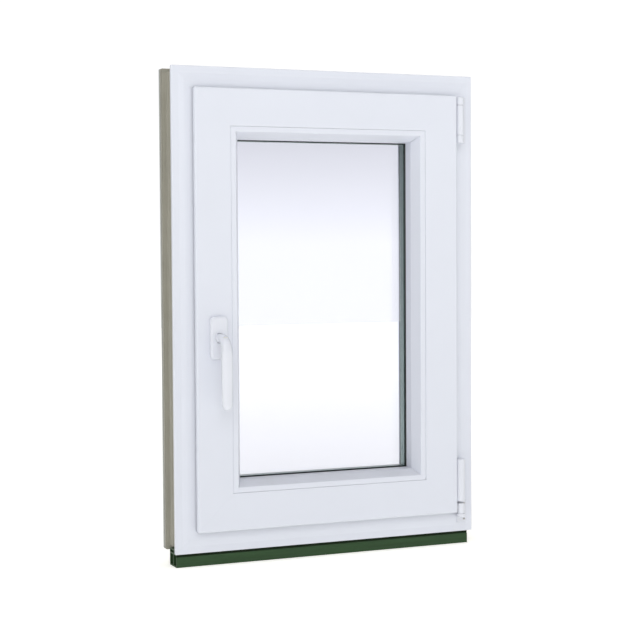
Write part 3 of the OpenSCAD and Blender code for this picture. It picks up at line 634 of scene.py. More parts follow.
def frame_outlines():
    """Outer skin and chambers of the frame section, room face first."""
    group = "window_members"
    flange, channel = in_mm(group, "flange"), in_mm(group, "channel_depth")
    lip_v = flange + in_mm(group, "channel_width")
    body, leg = in_mm(group, "frame_body"), in_mm(group, "leg")
    skin, web = in_mm(group, "skin"), in_mm(group, "web")
    deep = depth_of(FRAME_HIGH.y)
    leg_top = (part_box("frame_bottom")[1].z - FRAME_LOW.z) / MM
    step, strip, slope_end = 1.5, 13, 24
    rib = (40, 48, channel - 1.2)
    # Each groove in the back lip: its two depths, the deeper first, and how far in its floor lies.
    grooves = ((69, 66.6, 3.6), (lip_v + 3.2, lip_v + 0.8, 3.4))
    lip = 1
    outer = rounded([
        (step, 0, 1.6), (step, strip, 6), (0, slope_end, 6), (0, body, 1), (deep - leg - 2, body, 1),
        (deep - leg, body + 3, 1), (deep - leg, leg_top, 1.2), (deep, leg_top, 1.5), (deep, lip, 0.8),
        *[(v, u, 0.2) for a, b, floor in grooves for v, u in ((a, lip), (a, floor), (b, floor), (b, lip))],
        (lip_v, lip, 0.3), (lip_v, channel, 0.8), (rib[1], channel, 0.3), (rib[1], rib[2], 0.3),
        (rib[0], rib[2], 0.3), (rib[0], channel, 0.3), (flange, channel, 0.8), (flange, 0, 0.8)])
    low, high = channel + skin, body - skin
    steel = (13.5, 40)
    chambers = [box_outline(skin + step, steel[0] - web, low, high),
                box_outline(*steel, low, high),
                box_outline(steel[1] + web, lip_v - web, low, high),
                box_outline(lip_v + skin, deep - skin, lip + 5, leg_top - skin)]
    return [outer, *chambers], (flange, lip_v + 0.2, channel, deep)


def sash_lines():
    """Key lines of the sash section in mm: face, edge, body, back, bead line and glass line."""
    low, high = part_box("sash_left")
    body = in_mm("window_members", "frame_body") + in_mm("window_members", "rebate")
    bead_low, bead_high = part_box("bead_left")
    return {"face": depth_of(low.y), "edge": inset_of("sash_left"), "body": body,
            "back": depth_of(high.y),
            "bead": round((bead_low.x - FRAME_LOW.x) / MM + BEAD_FOOT - BEAD_GAP),
            "sight": (bead_high.x - FRAME_LOW.x) / MM, "bead back": depth_of(bead_high.y),
            "lip": depth_of(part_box("outdoor_glazing_gasket")[1].y), "top": (high.x - FRAME_LOW.x) / MM}


def sash_outlines():
    """Outer skin and chambers of the sash section, with its gear groove and the bead's key groove."""
    line = sash_lines()
    skin = in_mm("window_members", "skin")
    back_flange = line["face"] + in_mm("window_members", "overlap")
    gear_middle, half = 17, in_mm("window_members", "groove") / 2
    gear_front, gear_back = gear_middle - half, gear_middle + half
    floor = line["body"] + in_mm("window_members", "groove_depth")
    outer_room_depth, bead_wall = 16, 8
    lip_v, outer_room = line["lip"], line["back"] - outer_room_depth
    key_front, key_back, key_floor = 3, 8, line["bead"] - 5
    outer = rounded([
        (line["face"], line["edge"], 3.2), (back_flange, line["edge"], 0.8),
        (back_flange, line["body"], 1), (gear_front, line["body"], 0.5), (gear_front, floor, 0.5),
        (gear_back, floor, 0.5), (gear_back, line["body"], 0.5), (line["back"], line["body"], 1),
        (line["back"], line["top"] - 3, 2), (line["back"] - 3, line["top"], 1.5), (lip_v, line["top"], 0.6),
        (lip_v, line["bead"], 0.5), (key_back, line["bead"], 0.2), (key_back, key_floor, 0.2),
        (key_front, key_floor, 0.2), (key_front, line["bead"], 0.2), (line["face"], line["bead"], 0.9)])
    low, high = line["body"] + skin, line["bead"] - bead_wall
    face_chamber_end, gear_chamber_start = -2, 0.5
    chambers = [box_outline(line["face"] + skin, face_chamber_end, low, high),
                box_outline(gear_chamber_start, gear_back + 0.5, floor + skin, high),
                box_outline(gear_back + skin, outer_room - skin, low, high),
                box_outline(outer_room, line["back"] - skin, low, high)]
    return [outer, *chambers]


def bead_outline():
    """Section of a glazing bead: flat front, long slope, foot in its groove."""
    line = sash_lines()
    joint, front = line["bead"] + BEAD_GAP, line["face"] + 0.6
    foot_front, foot_back, foot_end = 3.2, 7.6, joint - BEAD_FOOT
    flat = in_mm("window_members", "bead_flat")
    return [rounded([
        (front, joint, 0.9), (foot_front, joint, 0.2), (foot_front, foot_end, 0.4),
        (foot_back, foot_end, 0.4), (foot_back, joint, 0.2), (line["bead back"], joint, 0.4),
        (line["bead back"], line["sight"], 0.5),
        (in_mm("window_members", "bead_wall"), line["sight"] - 1.5, 2.5),
        (front + 1, line["bead"] + flat + 1, 1.5), (front, line["bead"] + flat, 0.8)])]


# ---------- operators: profiles ----------

def weld_groove():
    """Half width and depth of the groove that is left where a weld was cleaned."""
    return in_mm("window_members", "weld_width"), in_mm("window_members", "weld_depth")


class WINDOW_OT_frame(bpy.types.Operator):
    """Four hollow frame members, mitred and welded, with the recycled core bare in their channel"""
    bl_idname = "tilt_window.frame"
    bl_label = "Welded Frame"

    def execute(self, context):
        outlines, (flange, lip, channel, deep) = frame_outlines()

        outer_round, lip_skin, core_part = 2.5, 1.5, 9

        def bare(v, u):
            """Finish of a face: white skin, bare core, the back lip's side in grey painted shade, or painted
            shade inside a groove.
            """
            if u > channel + 0.4 or v < flange - 0.2 or v > deep - 1:
                return 0
            # Painted shade: faces inside the back lip's grooves take mark 3, and the lip's outer side takes
            # mark 2, its grey painted shade.
            if v > lip and u > lip_skin:
                return 3
            return 1 if v < lip + core_part else 2

        for n, side in enumerate(SIDES):
            way = way_of(n)
            shape = Shape()
            mitred(shape, n, outlines, weld=weld_groove(), corner=(outer_round, 0), mark=bare)
            # The third and fourth finishes are painted shade: grey on the back lip's side and near-black
            # inside its grooves.
            member = shape.piece(f"frame_member_{side}",
                                 [finish(f"white {way}"), finish(f"core {way}"), finish("lip edge in painted shade"),
                                  finish("groove painted shade")])
            fitted(member, "frame", "white_pvc", f"frame_{side}")
        return {"FINISHED"}


class WINDOW_OT_base(bpy.types.Operator):
    """Hollow green profile clipped under the frame, open at both ends"""
    bl_idname = "tilt_window.base"
    bl_label = "Base Profile"

    def execute(self, context):
        low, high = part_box("base_profile")
        under = (low.z - FRAME_LOW.z) / MM
        tongue = (high.z - FRAME_LOW.z) / MM
        front, back = depth_of(low.y), depth_of(high.y)
        lip, wall = in_mm("window_members", "flange") + 0.3, 2.2
        middle = (front + back) / 2
        # The recess under the frame's flange carries painted shade, the dark band of the flange's shadow.
        recess, shelf = 1.2, -5
        outer = rounded([(front, under, 1.2), (back, under, 1.2), (back, tongue, 0.8), (lip, tongue, 0.8),
                         (lip, -0.1, 0.4), (front + recess, -0.1, 0.3), (front + recess, shelf, 0.3),
                         (front, shelf - 0.6, 0.4)])

        def painted_shade_mark(v, u):
            """Finish of a face: one, the painted shade, inside the recess under the frame's flange, nought
            elsewhere.
            """
            return 1 if front + recess - 0.1 < v < front + 2 * recess and u > shelf else 0

        chambers = [
            box_outline(front + wall, middle - wall / 2, under + wall, -wall),
            box_outline(middle + wall / 2, back - wall, under + wall, -wall),
            box_outline(lip + wall, middle - wall / 2, 0.4, tongue - wall, 0.4),
            box_outline(middle + wall / 2, back - wall, 0.4, tongue - wall, 0.4)]
        cuts = ((low.x - MIDDLE.x) / MM, (high.x - MIDDLE.x) / MM)
        shape = Shape()
        mitred(shape, 0, [outer, *chambers], ends=cuts, mark=painted_shade_mark)
        # The second finish is painted shade in the recess under the frame's flange.
        base = shape.piece("green_base_profile", [finish("green pvc"), finish("green painted shade")])
        fitted(base, "frame", "green_plastic", "base_profile")
        return {"FINISHED"}


class WINDOW_OT_sash(bpy.types.Operator):
    """Four hollow sash members, mitred and welded, with rounded outer corners"""
    bl_idname = "tilt_window.sash"
    bl_label = "Welded Sash"

    def execute(self, context):
        outlines = sash_outlines()
        corner = (in_mm("window_members", "corner_round"), sash_lines()["edge"])
        for n, side in enumerate(SIDES):
            shape = Shape()
            mitred(shape, n, outlines, weld=weld_groove(), corner=corner)
            member = shape.piece(f"sash_member_{side}", [finish(f"white {way_of(n)}")])
            fitted(member, "sash", "white_pvc", f"sash_{side}")
        return {"FINISHED"}


class WINDOW_OT_beads(bpy.types.Operator):
    """Glazing beads snapped in round the glass, with fine butted mitres"""
    bl_idname = "tilt_window.beads"
    bl_label = "Glazing Beads"

    def execute(self, context):
        for n, side in enumerate(SIDES):
            shape = Shape()
            mitred(shape, n, bead_outline(), weld=(0.35, 0.25))
            bead = shape.piece(f"glazing_bead_{side}", [finish(f"bead {way_of(n)}")])
            fitted(bead, "sash", "white_pvc", f"bead_{side}")
        return {"FINISHED"}


# ---------- operators: seals and glass ----------

def seal_ring(name, body, node, outline, ends=None):
    """Rubber seal round all four sides; ends gives square cuts for (side, start or end)."""
    shape = Shape()
    for n in range(4):
        cuts = tuple((ends or {}).get((n, e)) for e in (0, 1))
        mitred(shape, n, [outline], ends=cuts)
    return fitted(shape.piece(name, [finish("rubber")], smooth=50), body, "seal_rubber", node)


class WINDOW_OT_seals(bpy.types.Operator):
    """Glazing seals, the frame's rebate seal and the sash's overlap seal"""
    bl_idname = "tilt_window.seals"
    bl_label = "Seals"

    def execute(self, context):
        sight = sash_lines()["sight"]
        for name, node, glass_side in (("bead_seal", "bead_gasket", 1),
                                       ("outdoor_glass_seal", "outdoor_glazing_gasket", -1)):
            low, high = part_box(node)
            a, b = depth_of(low.y), depth_of(high.y)
            if glass_side < 0:
                a, b = b, a
            middle = a + (b - a) * 0.45
            outline = rounded([(a, sight - 8, 0.4), (a, sight + 0.2, 0.4), (middle, sight + 1.4, 0.9),
                               (b, sight + 0.9, 0.7), (b, sight - 8, 0.4)])
            seal_ring(name, "sash", node, outline)
        low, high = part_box("frame_rebate_gasket")
        a, b = depth_of(low.y), depth_of(high.y)
        u1, u2 = inset_of("frame_rebate_gasket"), inset_of("frame_rebate_gasket") + 7
        outline = rounded([(b, u1, 0.3), (b, u2, 0.3), (b - 0.9, u2, 0.4), (a, u2 - 0.6, 0.5),
                           (a, u2 - 2.4, 0.6), (b - 1, u2 - 3.2, 0.4), (b - 1, u1, 0.3)])
        seal_ring("rebate_seal", "frame", "frame_rebate_gasket", outline)
        low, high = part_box("sash_overlap_gasket")
        a, b = depth_of(low.y), depth_of(high.y)
        u1 = inset_of("sash_overlap_gasket")
        outline = rounded([(a, u1, 0.3), (b - 0.6, u1 - 0.6, 0.3), (b, u1, 0.3), (a + 1.1, u1 + 2.2, 0.4),
                           (a + 1.1, u1 + 5, 0.3), (a, u1 + 5, 0.3)])
        leaf_width = 30
        leaf_left = (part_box("stay_arm")[1].x - MIDDLE.x) / MM - leaf_width
        knuckle_low = (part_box("stay_knuckle_cover")[0].z - MIDDLE.z) / MM
        seal_ring("overlap_seal", "sash", "sash_overlap_gasket", outline,
                  {(2, 0): -leaf_left, (3, 1): knuckle_low})
        return {"FINISHED"}


class WINDOW_OT_glass(bpy.types.Operator):
    """Double glazing: two panes with ground edges, metal spacer, edge seal and packers"""
    bl_idname = "tilt_window.glass"
    bl_label = "Glass Unit"

    def execute(self, context):
        ground = 0.5
        softened("room_pane", "room_glass", [finish("glass")], "clear_glass", ground)
        softened("outdoor_pane", "outdoor_glass", [finish("glass")], "clear_glass", ground)
        looks = [finish("spacer"), finish("butyl")]
        bar = softened("spacer_frame", "spacer_bar", looks, "spacer_metal", ground)
        for face in bar.data.polygons:
            if abs(face.normal.y) > 0.8:
                face.material_index = 1
        softened("setting_blocks", "glass_packers", [finish("packer")], "packer_plastic", 0.6)
        dress("edge_seal", "butyl")
        return {"FINISHED"}


def dress(node, kind):
    """Gives a node that stays its finish."""
    mesh = NODES[node].data
    mesh.materials.clear()
    mesh.materials.append(finish(kind))


# ---------- operators: handle ----------

class WINDOW_OT_handle(bpy.types.Operator):
    """Swan-neck lever on a rounded rosette"""
    bl_idname = "tilt_window.handle"
    bl_label = "Handle"

    def execute(self, context):
        self.rosette()
        self.lever()
        softened("rosette_base", "rosette_plate", [finish("zinc casting")], "zinc_casting", 0.4)
        softened("handle_spindle", "square_spindle", [finish("gear steel")], "gear_steel", 0.5)
        return {"FINISHED"}

    def rosette(self):
        low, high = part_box("rosette_cover")
        cx, cz = (low.x + high.x) / 2, (low.z + high.z) / 2
        half_w, half_h = (high.x - low.x) / 2 / MM, (high.z - low.z) / 2 / MM
        thick = (high.y - low.y) / MM
        corner, edge = in_mm("window_handle", "rosette_round"), in_mm("window_handle", "rosette_edge")
        hole = in_mm("window_handle", "neck") + 0.6

        def rim(inset):
            """Rounded rectangle set in by inset."""
            w, h = half_w - inset, half_h - inset
            r = max(corner - inset, 3)
            return rounded([(-w, -h, r), (w, -h, r), (w, h, r), (-w, h, r)], steps=9, hold=3)

        def circle(radius):
            return [p.normalized() * radius for p in rim(0)]

        steps = 6
        rings = [(circle(hole), 0), (circle(hole), thick - 0.6), (circle(hole + 0.6), thick + 0.1),
                 (circle(hole + 2.0), thick + 0.1), (circle(hole + 2.6), thick - 0.5),
                 (circle(hole + 2.9), thick - 0.9)]
        for k in range(steps + 1):
            a = math.pi / 2 * k / steps
            rings.append((rim(edge * (1 - math.sin(a))), thick - 0.9 - (edge - 1) * (1 - math.cos(a))))
        rings.append((rim(0), 0))
        shape = Shape()
        loops = [shape.ring([Vector((cx + p.x * MM, high.y - out * MM, cz + p.y * MM)) for p in points])
                 for points, out in rings]
        for a, b in zip(loops, loops[1:] + loops[:1]):
            shape.skin(a, b)
        cover = shape.piece("rosette_shell", [finish("cover plastic")], smooth=50)
        fitted(cover, "sash", "white_cover", "rosette_cover")

    def lever(self):
        low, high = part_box("handle_lever")
        cx = (low.x + high.x) / 2
        rosette_low, rosette_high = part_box("rosette_cover")
        axis_z = (rosette_low.z + rosette_high.z) / 2
        neck, bend = in_mm("window_handle", "neck"), in_mm("window_handle", "bend")
        wide, deep = in_mm("window_handle", "grip_width") / 2, in_mm("window_handle", "grip_depth") / 2
        arc_start = (high.y - low.y) / MM - deep - bend
        arc = bend * math.pi / 2
        drop = (axis_z - low.z) / MM - bend
        length = arc_start + arc + drop
        round_end, straight_steps, end_steps, around = 9.0, 44, 8, 40

        def smooth(a, b, t):
            t = min(max((t - a) / (b - a), 0), 1)
            return t * t * (3 - 2 * t)

        def spine(d):
            """Distance out from the lever's root and height over the axis, with the heading angle."""
            if d < arc_start:
                return d, 0.0, 0.0
            if d < arc_start + arc:
                a = (d - arc_start) / bend
                return arc_start + bend * math.sin(a), -bend * (1 - math.cos(a)), a
            return arc_start + bend, -bend - (d - arc_start - arc), math.pi / 2

        def section(d):
            """Half width and half thickness of the lever along its spine."""
            grown = smooth(arc_start - 6, arc_start + arc + 14, d)
            past = max(d - arc_start - arc, 0) / drop
            swell = 1 - 0.10 * past + 0.05 * math.sin(math.pi * past)
            a = (neck + (wide - neck) * grown) * swell
            b = (neck + (deep - neck) * grown) * (1 - 0.12 * past)
            left = length - d
            if left < round_end:
                q = math.sqrt(max(1 - (1 - left / round_end) ** 2, 0))
                a, b = a * max(q, 0.02), b * max(q ** 0.7, 0.02)
            return a, b

        straight = length - round_end
        stations = [straight * k / straight_steps for k in range(straight_steps + 1)]
        stations += [straight + round_end * math.sin(math.pi / 2 * k / end_steps)
                     for k in range(1, end_steps + 1)]
        shape = Shape()
        loops = []
        for d in stations:
            out, up, heading = spine(d)
            a, b = section(d)
            square = 2 + 0.5 * smooth(arc_start, arc_start + arc, d)
            loop = []
            for k in range(around):
                t = 2 * math.pi * k / around
                x = a * math.copysign(abs(math.cos(t)) ** (2 / square), math.cos(t))
                n = b * math.copysign(abs(math.sin(t)) ** (2 / square), math.sin(t))
                loop.append(Vector((cx + x * MM, high.y - (out + n * math.sin(heading)) * MM,
                                    axis_z + (up + n * math.cos(heading)) * MM)))
            loops.append(shape.ring(loop))
        for a, b in zip(loops, loops[1:]):
            shape.skin(a, b)
        shape.cap(loops[0])
        shape.cap(loops[-1])
        lever = shape.piece("swan_neck_lever", [finish("lacquer")], smooth=60)
        fitted(lever, "handle", "white_lacquer", "handle_lever")


# ---------- operators: hinges ----------

def turning_axis():
    """Place of the upright turning axis."""
    low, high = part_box("upper_hinge_pin")
    return (low.x + high.x) / 2, (low.y + high.y) / 2


def cover_outline(low, high, radius, inner, dome_low, dome_high):
    """Closed (radius, height) outline of a tubular cover in mm, with a dome over a closed end."""
    soft = 1.0
    points = [(inner, low + (1.2 if dome_low else 0)), (inner, high - (1.2 if dome_high else 0))]
    for closed, sign, end in ((dome_high, 1, high), (dome_low, -1, low)):
        bend = 2.2 if closed else soft
        arc = []
        if closed:
            arc.append((0.05, end - sign * 1.2))
            arc.append((0.05, end))
        for k in range(6):
            a = math.pi / 2 * k / 5
            arc.append((radius - bend + bend * math.sin(a), end - sign * (bend - bend * math.cos(a))))
        points += arc if sign > 0 else arc[::-1]
    return points


def hinge_cover(shape, low_m, high_m, radius, dome_low=False, dome_high=False):
    """Adds one tubular cover on the turning axis to a shape."""
    x, y = turning_axis()
    outline = cover_outline(low_m / MM, high_m / MM, radius, radius - 1, dome_low, dome_high)
    turned(shape, outline, x, y)


class WINDOW_OT_upper_hinge(bpy.types.Operator):
    """Three-knuckle upper hinge with white covers, and the scissor stay behind it"""
    bl_idname = "tilt_window.upper_hinge"
    bl_label = "Upper Hinge"

    def execute(self, context):
        low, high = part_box("upper_hinge_covers")
        mid_low, mid_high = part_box("stay_knuckle_cover")
        radius = (high.x - low.x) / 2 / MM - 0.4
        gap = 0.9 * MM
        ends = Shape()
        hinge_cover(ends, low.z, mid_low.z - gap, radius, dome_low=True)
        hinge_cover(ends, mid_high.z + gap, high.z, radius, dome_high=True)
        fitted(ends.piece("hinge_end_covers", [finish("cover plastic")]), "frame", "white_cover",
               "upper_hinge_covers")
        middle = Shape()
        hinge_cover(middle, mid_low.z, mid_high.z, radius)
        fitted(middle.piece("hinge_middle_cover", [finish("cover plastic")]), "stay", "white_cover",
               "stay_knuckle_cover")
        metal_pieces(("upper_hinge_bracket", "upper_bracket", "lacquer"),
                     ("upper_hinge_pin", "hinge_pin", "gear steel"),
                     ("stay_arm", "scissor_arm", "galvanised"),
                     ("stay_stud", "riveted_stud", "gear steel"))
        return {"FINISHED"}


class WINDOW_OT_lower_hinge(bpy.types.Operator):
    """Corner hinge: lug and pin on the frame, turning post, band and white cover on the sash"""
    bl_idname = "tilt_window.lower_hinge"
    bl_label = "Lower Hinge"

    def execute(self, context):
        low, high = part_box("lower_hinge_cover")
        x, y = turning_axis()
        radius = (x - low.x) / MM
        shape = Shape()
        outline = cover_outline(low.z / MM, high.z / MM, radius, radius - 1.5, False, True)
        turned(shape, outline, x, y)
        cover = shape.piece("corner_hinge_cover", [finish("cover plastic")])
        fitted(cover, "sash", "white_cover", "lower_hinge_cover")
        metal_pieces(("lower_hinge_bracket", "corner_bracket", "lacquer"),
                     ("lower_pivot_post", "pivot_post", "lacquer"),
                     ("lower_hinge_band", "sash_band", "galvanised"))
        return {"FINISHED"}


# ---------- operators: locking gear ----------

class WINDOW_OT_gear(bpy.types.Operator):
    """Face plates, drive rods, cams, strikers and gearbox"""
    bl_idname = "tilt_window.gear"
    bl_label = "Locking Gear"

    def execute(self, context):
        metal_pieces(("side_strikers", "locking_strikers", "zinc casting"),
                     ("top_striker", "head_striker", "zinc casting"),
                     ("tilt_striker", "sill_tilt_striker", "zinc casting"),
                     ("gearbox_case", "gearbox_shell", "galvanised"),
                     ("side_face_plate", "handle_side_faceplate", "galvanised"),
                     ("top_face_plate", "head_faceplate", "galvanised"),
                     ("bottom_face_plate", "sill_faceplate", "galvanised"),
                     ("corner_drives", "corner_drive_angles", "galvanised"),
                     ("pinion", "gear_pinion", "gear steel"),
                     ("side_drive_rod", "toothed_rod", "galvanised"),
                     ("top_drive_rod", "head_rod", "galvanised"),
                     ("bottom_drive_rod", "sill_rod", "galvanised"),
                     ("side_locking_cams", "roller_cams", "gear steel"),
                     ("top_locking_cam", "head_cam", "gear steel"),
                     ("tilt_cam", "sill_cam", "gear steel"))
        softened("drain_caps", "drain_hoods", [finish("cover plastic")], "white_cover", 0.9)
        dress("frame_steel_bars", "galvanised")
        dress("sash_steel_bars", "galvanised")
        return {"FINISHED"}


# ---------- operators: repeated details ----------

def vector_attribute(mesh, name, values):
    """Stores one vector for each corner point of a mesh."""
    data = mesh.attributes.new(name, "FLOAT_VECTOR", "POINT")
    data.data.foreach_set("vector", [c for value in values for c in value])


def new_growth(name, lengths_mm):
    """Empty geometry tree with the given lengths and a material as inputs, and its end nodes."""
    tree = bpy.data.node_groups.new(name, "GeometryNodeTree")
    new_socket = tree.interface.new_socket
    new_socket(name="Geometry", in_out="INPUT", socket_type="NodeSocketGeometry")
    for label, length in lengths_mm.items():
        socket = new_socket(name=label, in_out="INPUT", socket_type="NodeSocketFloat")
        socket.default_value = length * MM
    new_socket(name="Material", in_out="INPUT", socket_type="NodeSocketMaterial")
    new_socket(name="Geometry", in_out="OUTPUT", socket_type="NodeSocketGeometry")
    return tree, tree.nodes.new("NodeGroupInput"), tree.nodes.new("NodeGroupOutput")


def planted(tree, ends, points, shape, rotation):
    """Puts a shape on every point, makes the copies real and gives them the tree's material."""
    add, link = tree.nodes.new, tree.links.new
    given, result = ends
    spread = add("GeometryNodeInstanceOnPoints")
    link(points, spread.inputs["Points"])
    link(shape, spread.inputs["Instance"])
    link(rotation, spread.inputs["Rotation"])
    real = add("GeometryNodeRealizeInstances")
    link(spread.outputs["Instances"], real.inputs["Geometry"])
    dye = add("GeometryNodeSetMaterial")
    link(real.outputs["Geometry"], dye.inputs["Geometry"])
    link(given.outputs["Material"], dye.inputs["Material"])
    link(dye.outputs["Geometry"], result.inputs["Geometry"])


def screw_tree():
    """Nodes: a cross-recessed screw on every point, turned along the point's axis."""
    tree, given, result = new_growth("Screws on points", {
        "Head Radius": 3.3, "Head Height": 1.2, "Shank Radius": 1.75, "Shank Length": 12,
        "Recess Width": 0.9})
    add, link = tree.nodes.new, tree.links.new

    def scaled(name, factor):
        """A factor times one of the tree's inputs."""
        node = new_node(tree, "ShaderNodeMath", {"operation": "MULTIPLY"})
        link(given.outputs[name], node.inputs[0])
        node.inputs[1].default_value = factor
        return node.outputs[0]

    def up(height):
        node = add("ShaderNodeCombineXYZ")
        link(height, node.inputs["Z"])
        return node.outputs[0]

    def moved(geometry, offset):
        node = add("GeometryNodeTransform")
        link(geometry, node.inputs["Geometry"])
        link(offset, node.inputs["Translation"])
        return node.outputs[0]

    head = new_node(tree, "GeometryNodeMeshCone", values={"Vertices": 28})
    link(scaled("Head Radius", 0.7), head.inputs["Radius Top"])
    link(given.outputs["Head Radius"], head.inputs["Radius Bottom"])
    link(given.outputs["Head Height"], head.inputs["Depth"])
    bars = add("GeometryNodeJoinGeometry")
    for wide in (True, False):
        bar = add("GeometryNodeMeshCube")
        sizes = add("ShaderNodeCombineXYZ")
        link(scaled("Head Radius", 1.05), sizes.inputs["X" if wide else "Y"])
        link(given.outputs["Recess Width"], sizes.inputs["Y" if wide else "X"])
        link(given.outputs["Head Height"], sizes.inputs["Z"])
        link(sizes.outputs[0], bar.inputs["Size"])
        link(moved(bar.outputs["Mesh"], up(scaled("Head Height", 0.85))), bars.inputs[0])
    cut = new_node(tree, "GeometryNodeMeshBoolean", {"operation": "DIFFERENCE"})
    link(head.outputs["Mesh"], cut.inputs["Mesh 1"])
    link(bars.outputs[0], cut.inputs["Mesh 2"])
    shank = new_node(tree, "GeometryNodeMeshCylinder", values={"Vertices": 16})
    link(given.outputs["Shank Radius"], shank.inputs["Radius"])
    link(given.outputs["Shank Length"], shank.inputs["Depth"])
    sunk = moved(shank.outputs["Mesh"], up(scaled("Shank Length", -0.5)))
    whole = add("GeometryNodeJoinGeometry")
    link(cut.outputs["Mesh"], whole.inputs[0])
    link(sunk, whole.inputs[0])
    axis = new_node(tree, "GeometryNodeInputNamedAttribute", {"data_type": "FLOAT_VECTOR"},
                    {"Name": "axis"})
    turn = new_node(tree, "FunctionNodeAlignRotationToVector", {"axis": "Z"})
    link(axis.outputs["Attribute"], turn.inputs["Vector"])
    planted(tree, (given, result), given.outputs["Geometry"], whole.outputs[0], turn.outputs["Rotation"])
    return tree


def slot_tree():
    """Nodes: small dark slots, painted shade for holes, at even steps along a closed path, laid along each
    point's way.
    """
    tree, given, result = new_growth("Slots on a path", {"Step": 4, "Slot Length": 1.6, "Slot Width": 0.5})
    add, link = tree.nodes.new, tree.links.new
    path = add("GeometryNodeMeshToCurve")
    link(given.outputs["Geometry"], path.inputs["Mesh"])
    even = new_node(tree, "GeometryNodeCurveToPoints", {"mode": "LENGTH"})
    link(path.outputs["Curve"], even.inputs["Curve"])
    link(given.outputs["Step"], even.inputs["Length"])
    slot = add("GeometryNodeMeshCube")
    sizes = add("ShaderNodeCombineXYZ")
    link(given.outputs["Slot Width"], sizes.inputs["X"])
    link(given.outputs["Slot Width"], sizes.inputs["Y"])
    link(given.outputs["Slot Length"], sizes.inputs["Z"])
    link(sizes.outputs[0], slot.inputs["Size"])
    planted(tree, (given, result), even.outputs["Points"], slot.outputs["Mesh"], even.outputs["Rotation"])
    return tree


def grown(name, mesh, tree, values):
    """Runs a node tree on a mesh and keeps its result as a plain object."""
    seed = bpy.data.objects.new(name + "_seed", mesh)
    bpy.context.scene.collection.objects.link(seed)
    modifier = seed.modifiers.new("grow", "NODES")
    modifier.node_group = tree
    for socket in tree.interface.items_tree:
        if socket.in_out == "INPUT" and socket.name in values:
            modifier[socket.identifier] = values[socket.name]
    graph = bpy.context.evaluated_depsgraph_get()
    result = bpy.data.meshes.new_from_object(seed.evaluated_get(graph))
    seed.modifiers.clear()
    bpy.data.objects.remove(seed)
    if not result.polygons:
        raise RuntimeError(f"{name} came out empty")
    smooth_turn = 30
    return finished(name, result, smooth_turn, recalculate=False)


class WINDOW_OT_screws(bpy.types.Operator):
    """Cross-recessed screws of the strikers, the hinge plates and the rosette"""
    bl_idname = "tilt_window.screws"
    bl_label = "Screws"

    def execute(self, context):
        tree = screw_tree()
        head, rosette_head = in_mm("window_fittings", "screw_head"), 4.4
        for name, body, node, wide, out, long in (
                ("hinge_plate_screws", "frame", "hinge_screws", head, 1.2, 15),
                ("striker_plate_screws", "frame", "striker_screws", head, 1.4, 14),
                ("rosette_fixing_screws", "sash", "rosette_screws", rosette_head, 2.2, 24)):
            mesh = bpy.data.meshes.new(name)
            places, axes = self.places(node, out)
            mesh.from_pydata(places, [], [])
            vector_attribute(mesh, "axis", axes)
            screws = grown(name, mesh, tree, {
                "Head Radius": wide * MM, "Head Height": out * MM,
                "Shank Radius": in_mm("window_fittings", "screw_shank") * MM,
                "Shank Length": long * MM, "Recess Width": in_mm("window_fittings", "recess") * MM,
                "Material": finish("gear steel")})
            fitted(screws, body, "gear_steel", node)
        return {"FINISHED"}

    def places(self, node, out):
        """Under-head points and outward axes of a node's screws, from its separate solids.

        A screw that lies along the depth looks to the room, any other to the middle of the window."""
        bm = bmesh.new()
        bm.from_mesh(NODES[node].data)
        bmesh.ops.remove_doubles(bm, verts=bm.verts, dist=2e-6)
        left, places, axes = set(bm.verts), [], []
        while left:
            island, stack = set(), [left.pop()]
            while stack:
                vertex = stack.pop()
                island.add(vertex)
                for edge in vertex.link_edges:
                    other = edge.other_vert(vertex)
                    if other in left:
                        left.remove(other)
                        stack.append(other)
            low = Vector([min(v.co[k] for v in island) for k in range(3)])
            high = Vector([max(v.co[k] for v in island) for k in range(3)])
            middle, span = (low + high) / 2, high - low
            long = max(range(3), key=lambda k: span[k])
            axis = Vector((0, 0, 0))
            axis[long] = -1 if long == 1 or middle[long] > MIDDLE[long] else 1
            tip = middle + axis * (span[long] / 2 - out * MM)
            places.append(tip)
            axes.append(axis)
        bm.free()
        order = sorted(range(len(places)), key=lambda k: tuple(places[k]))
        return [places[k] for k in order], [axes[k] for k in order]


class WINDOW_OT_spacer_holes(bpy.types.Operator):
    """Row of small slots in the spacer's inner face, as it is punched for the drying agent; the slots are
    dark boxes, painted shade for the holes.
    """
    bl_idname = "tilt_window.spacer_holes"
    bl_label = "Spacer Slots"

    def execute(self, context):
        low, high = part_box("spacer_frame")
        middle = (low + high) / 2
        spots = [v.co - middle for v in NODES["spacer_frame"].data.vertices]
        half_w, half_h = min(abs(p.x) for p in spots), min(abs(p.z) for p in spots)
        corners = [middle + Vector((sx * half_w, 0, sz * half_h))
                   for sx, sz in ((-1, -1), (1, -1), (1, 1), (-1, 1))]
        mesh = bpy.data.meshes.new("spacer_path")
        mesh.from_pydata(corners, [(0, 1), (1, 2), (2, 3), (3, 0)], [])
        # The slots are dark boxes on the spacer, painted shade for its holes.
        slots = grown("spacer_slots_painted_shade", mesh, slot_tree(), {
            "Step": in_mm("window_fittings", "perforation_step") * MM,
            "Slot Length": in_mm("window_fittings", "perforation") * MM,
            "Slot Width": 0.4 * MM, "Material": finish("hole")})
        fitted(slots, "sash", "spacer_metal")
        return {"FINISHED"}


# ---------- operator: stage ----------

